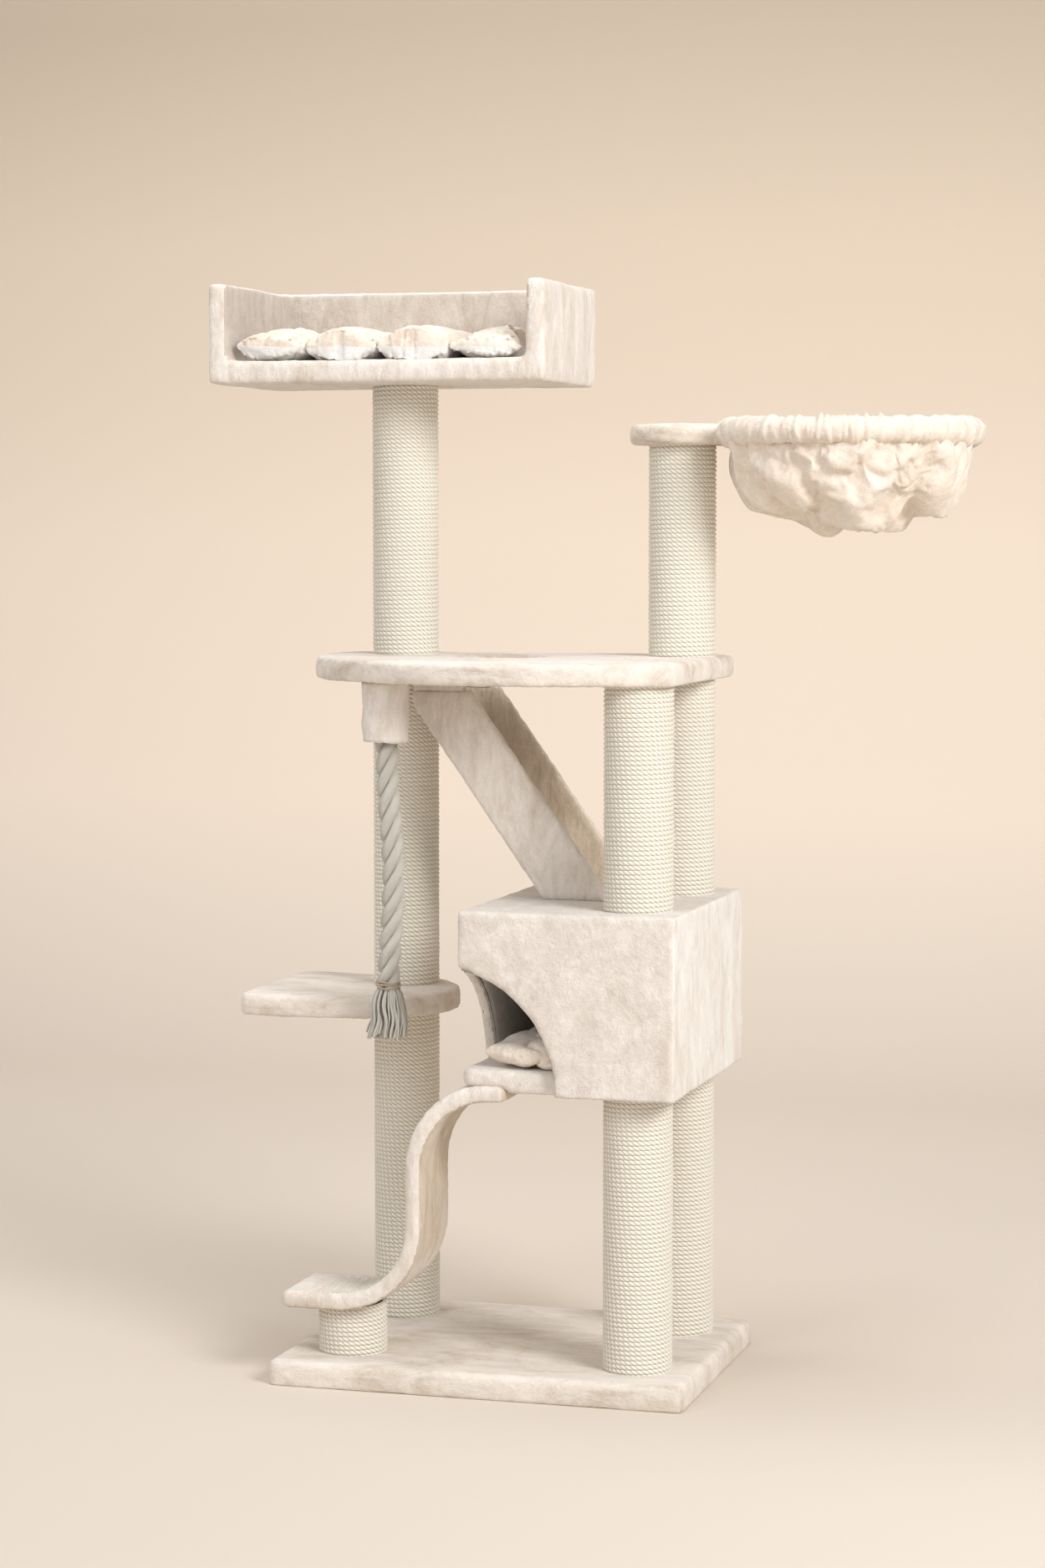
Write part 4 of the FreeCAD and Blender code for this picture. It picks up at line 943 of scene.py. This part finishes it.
bag = bmesh.new()
circle = [bag.verts.new((RIM_RADIUS + RIM_HALF_WIDTH * math.cos(a), 0,
                         bag_rim_height + RIM_HALF_HEIGHT * math.sin(a)))
          for a in (2 * math.pi * k / RIM_SECTION for k in range(RIM_SECTION))]
edges = [bag.edges.new(pair) for pair in zip(circle, circle[1:] + circle[:1])]
bmesh.ops.spin(bag, geom=circle + edges, cent=(0, 0, 0), axis=(0, 0, 1), angle=2 * math.pi,
               steps=RIM_STEPS, use_merge=True)
bag.normal_update()
for vert in bag.verts:
    around = Vector((vert.co.x, vert.co.y, 0)).normalized()
    wide_pucker = crease(around * 10 + Vector((0, 0, vert.co.z * 5)), 0.30)
    close_pucker = crease(around * 23 + Vector((0, 0, vert.co.z * 9)), 0.35)
    vert.co += vert.normal * (wide_pucker * 0.6 + close_pucker * 0.4 - 0.75) * RIM_PUCKER
folded = creased(bag_bowl(), 20)
deepest = min(vert.co.z for vert in folded.vertices)
widest = max(math.hypot(vert.co.x, vert.co.y) for vert in folded.vertices)
print("bag cloth", round(deepest, 3), "deep,", round(widest, 3), "wide")
for vert in folded.vertices:
    vert.co.x, vert.co.y = (share * min(1.0, BAG_WIDEST / widest) for share in (vert.co.x, vert.co.y))
    vert.co.z = bag_rim_height + vert.co.z * (bag_rim_height - bag_low.z) / -deepest
bag.from_mesh(folded)
bmesh.ops.recalc_face_normals(bag, faces=bag.faces)
bmesh.ops.translate(bag, vec=bag_centre, verts=bag.verts)
bag = piece("hammock_pouch", tousle(bag, 0.6 * MM, 0.010, 31), [bag_material], "hammock",
            ("hammock_bag",))
print("pouch", len(bag.data.polygons), "faces")

# %% [markdown]
# ## What shows of the frame
# The chipboard, card tubes and fasteners stay as the model gives them and only need a finish. Their
# meshes carry no UV map, so the patterns read Object coordinates.

# %% Hard finishes
def grained(name, colour, dark, stretch, fleck, roughness):
    """Wood and card: a long grain or loose flecks in two shades, with a slight relief."""
    material, tree, surface = shader(name, colour, roughness, Specular_IOR_Level=0.3)
    place = add(tree, "ShaderNodeTexCoord").outputs["Object"]
    along = add(tree, "ShaderNodeMapping", {"Vector": place, "Scale": stretch}).outputs["Vector"]
    flecks = add(tree, "ShaderNodeTexNoise", {"Vector": along, "Scale": fleck, "Detail": 5,
                                              "Roughness": 0.65}).outputs["Fac"]
    shades = colour_steps(tree, flecks, [(0.35, dark), (0.65, colour)])
    tree.links.new(shades, surface.inputs["Base Color"])
    bump = add(tree, "ShaderNodeBump", {"Height": flecks, "Strength": 0.3, "Distance": 0.0005})
    tree.links.new(bump.outputs["Normal"], surface.inputs["Normal"])
    return material


def plated(name, colour):
    """Zinc plate: bright steel with faint clouds in its roughness."""
    material, tree, surface = shader(name, colour, 0.35, Metallic=1.0)
    place = add(tree, "ShaderNodeTexCoord").outputs["Object"]
    clouds = add(tree, "ShaderNodeTexNoise", {"Vector": place, "Scale": 60, "Detail": 3}).outputs["Fac"]
    shine = add(tree, "ShaderNodeMapRange", {"Value": clouds, "To Min": 0.25, "To Max": 0.5})
    tree.links.new(shine.outputs["Result"], surface.inputs["Roughness"])
    return material


hard_finishes = {
    "chipboard": grained("chipboard", srgb(203, 176, 138), srgb(150, 118, 82), (1, 1, 2), 160, 0.8),
    "grey_board": grained("grey_board", srgb(165, 160, 152), srgb(140, 135, 128), (1, 1, 1), 90, 0.7),
    "plywood": grained("plywood", srgb(214, 184, 140), srgb(178, 144, 100), (0.15, 1, 1), 60, 0.7),
    "cardboard": grained("cardboard", srgb(176, 146, 110), srgb(146, 116, 82), (1, 1, 0.2), 120, 0.9),
    "zinc_steel": plated("zinc_steel", srgb(205, 206, 205)),
    "plush": plush_side, "cotton_rope": cotton, "sisal": sisal,
}
for part in frame["record"]["subparts"]:
    finish = plush_side if part["node"] == "chute_cleats" else hard_finishes.get(part["material_slot"])
    for place in frame["nodes"][part["node"]].material_slots:
        if finish:
            place.material = finish
print(len(hard_finishes), "finishes on the frame")

# %% [markdown]
# ## Studio
# A plain pale floor sweeps up into a wall of cream paper. Its colour carries painted light: darker on
# the floor, brightest from about half a metre to one and a half metres up, and darker again towards the
# top.
# Large soft lights stand in front: the brighter one is to the right, so the left sides turn gently darker
# and shadows stay faint.

# %% Floor and wall
PAPER_TOP = 4.0
# painted light: the paper's colour follows height, brightest at low mid height and darker below and above
PAPER_PAINTED_LIGHT = [(0.0, srgb(217, 206, 193)), (0.16, srgb(234, 219, 202)), (0.36, srgb(233, 217, 199)),
                (0.60, srgb(219, 203, 184)), (0.78, srgb(194, 179, 160))]
SWEEP_RADIUS, FLOOR_FRONT, WALL_BACK, FLOOR_HALF, WALL_TOP = 2.0, -7.0, 5.0, 9.0, 9.0
SWEEP_STEPS = 24
backdrop_paper_painted_light, paper_tree, paper_surface = shader("backdrop_paper_painted_light", srgb(230, 215, 197), 0.95,
                                                   Specular_IOR_Level=0.0)
paper_place = add(paper_tree, "ShaderNodeTexCoord").outputs["Object"]
paper_height = add(paper_tree, "ShaderNodeSeparateXYZ", {"Vector": paper_place}).outputs["Z"]
level = add(paper_tree, "ShaderNodeMath", {0: paper_height, 1: 1 / PAPER_TOP},
            operation="MULTIPLY").outputs[0]
paper_tree.links.new(colour_steps(paper_tree, level, PAPER_PAINTED_LIGHT), paper_surface.inputs["Base Color"])
sweep = bmesh.new()
outline = [(FLOOR_FRONT, 0.0)]
outline += [(WALL_BACK - SWEEP_RADIUS + SWEEP_RADIUS * math.sin(a),
             SWEEP_RADIUS - SWEEP_RADIUS * math.cos(a))
            for a in (math.pi / 2 * k / SWEEP_STEPS for k in range(SWEEP_STEPS + 1))]
outline += [(WALL_BACK, WALL_TOP)]
line = [sweep.verts.new((-FLOOR_HALF, y, z)) for y, z in outline]
edges = [sweep.edges.new(pair) for pair in zip(line, line[1:])]
across = bmesh.ops.extrude_edge_only(sweep, edges=edges)
bmesh.ops.translate(sweep, vec=(2 * FLOOR_HALF, 0, 0),
                    verts=[g for g in across["geom"] if isinstance(g, bmesh.types.BMVert)])
bmesh.ops.recalc_face_normals(sweep, faces=sweep.faces)
sweep_mesh = as_mesh("backdrop", sweep)
sweep_mesh.materials.append(backdrop_paper_painted_light)
sweep_mesh.polygons.foreach_set("use_smooth", [True] * len(sweep_mesh.polygons))
backdrop = put("backdrop", sweep_mesh)


# %% Lights
def softbox(name, place, aim, size, power):
    """A square area lamp at a place, turned to shine at its aim, in metres and watts."""
    lamp = bpy.data.lights.new(name, "AREA")
    lamp.shape, lamp.size, lamp.energy = "SQUARE", size, power
    holder = put(name, lamp)
    holder.location = place
    holder.rotation_euler = (Vector(aim) - Vector(place)).to_track_quat("-Z", "Y").to_euler()


softbox("key_light", place=(4.2, -2.9, 3.6), aim=(0, 0, 1.1), size=2.0, power=230)
softbox("fill_light", place=(-2.2, -5.0, 3.8), aim=(0, 0, 1.9), size=3.0, power=78)
softbox("top_light", place=(0.3, -0.6, 7.5), aim=(0, 0, 0), size=3.0, power=70)
softbox("wall_light", place=(-1.6, 0.6, 4.8), aim=(-0.6, 5.0, 1.4), size=3.0, power=90)
sky = bpy.data.worlds.new("studio")
sky.use_nodes = True
sky.node_tree.nodes["Background"].inputs["Color"].default_value = (*srgb(250, 250, 252), 1)
sky.node_tree.nodes["Background"].inputs["Strength"].default_value = 0.52
bpy.context.scene.world = sky
bpy.context.scene.view_settings.view_transform = "Standard"
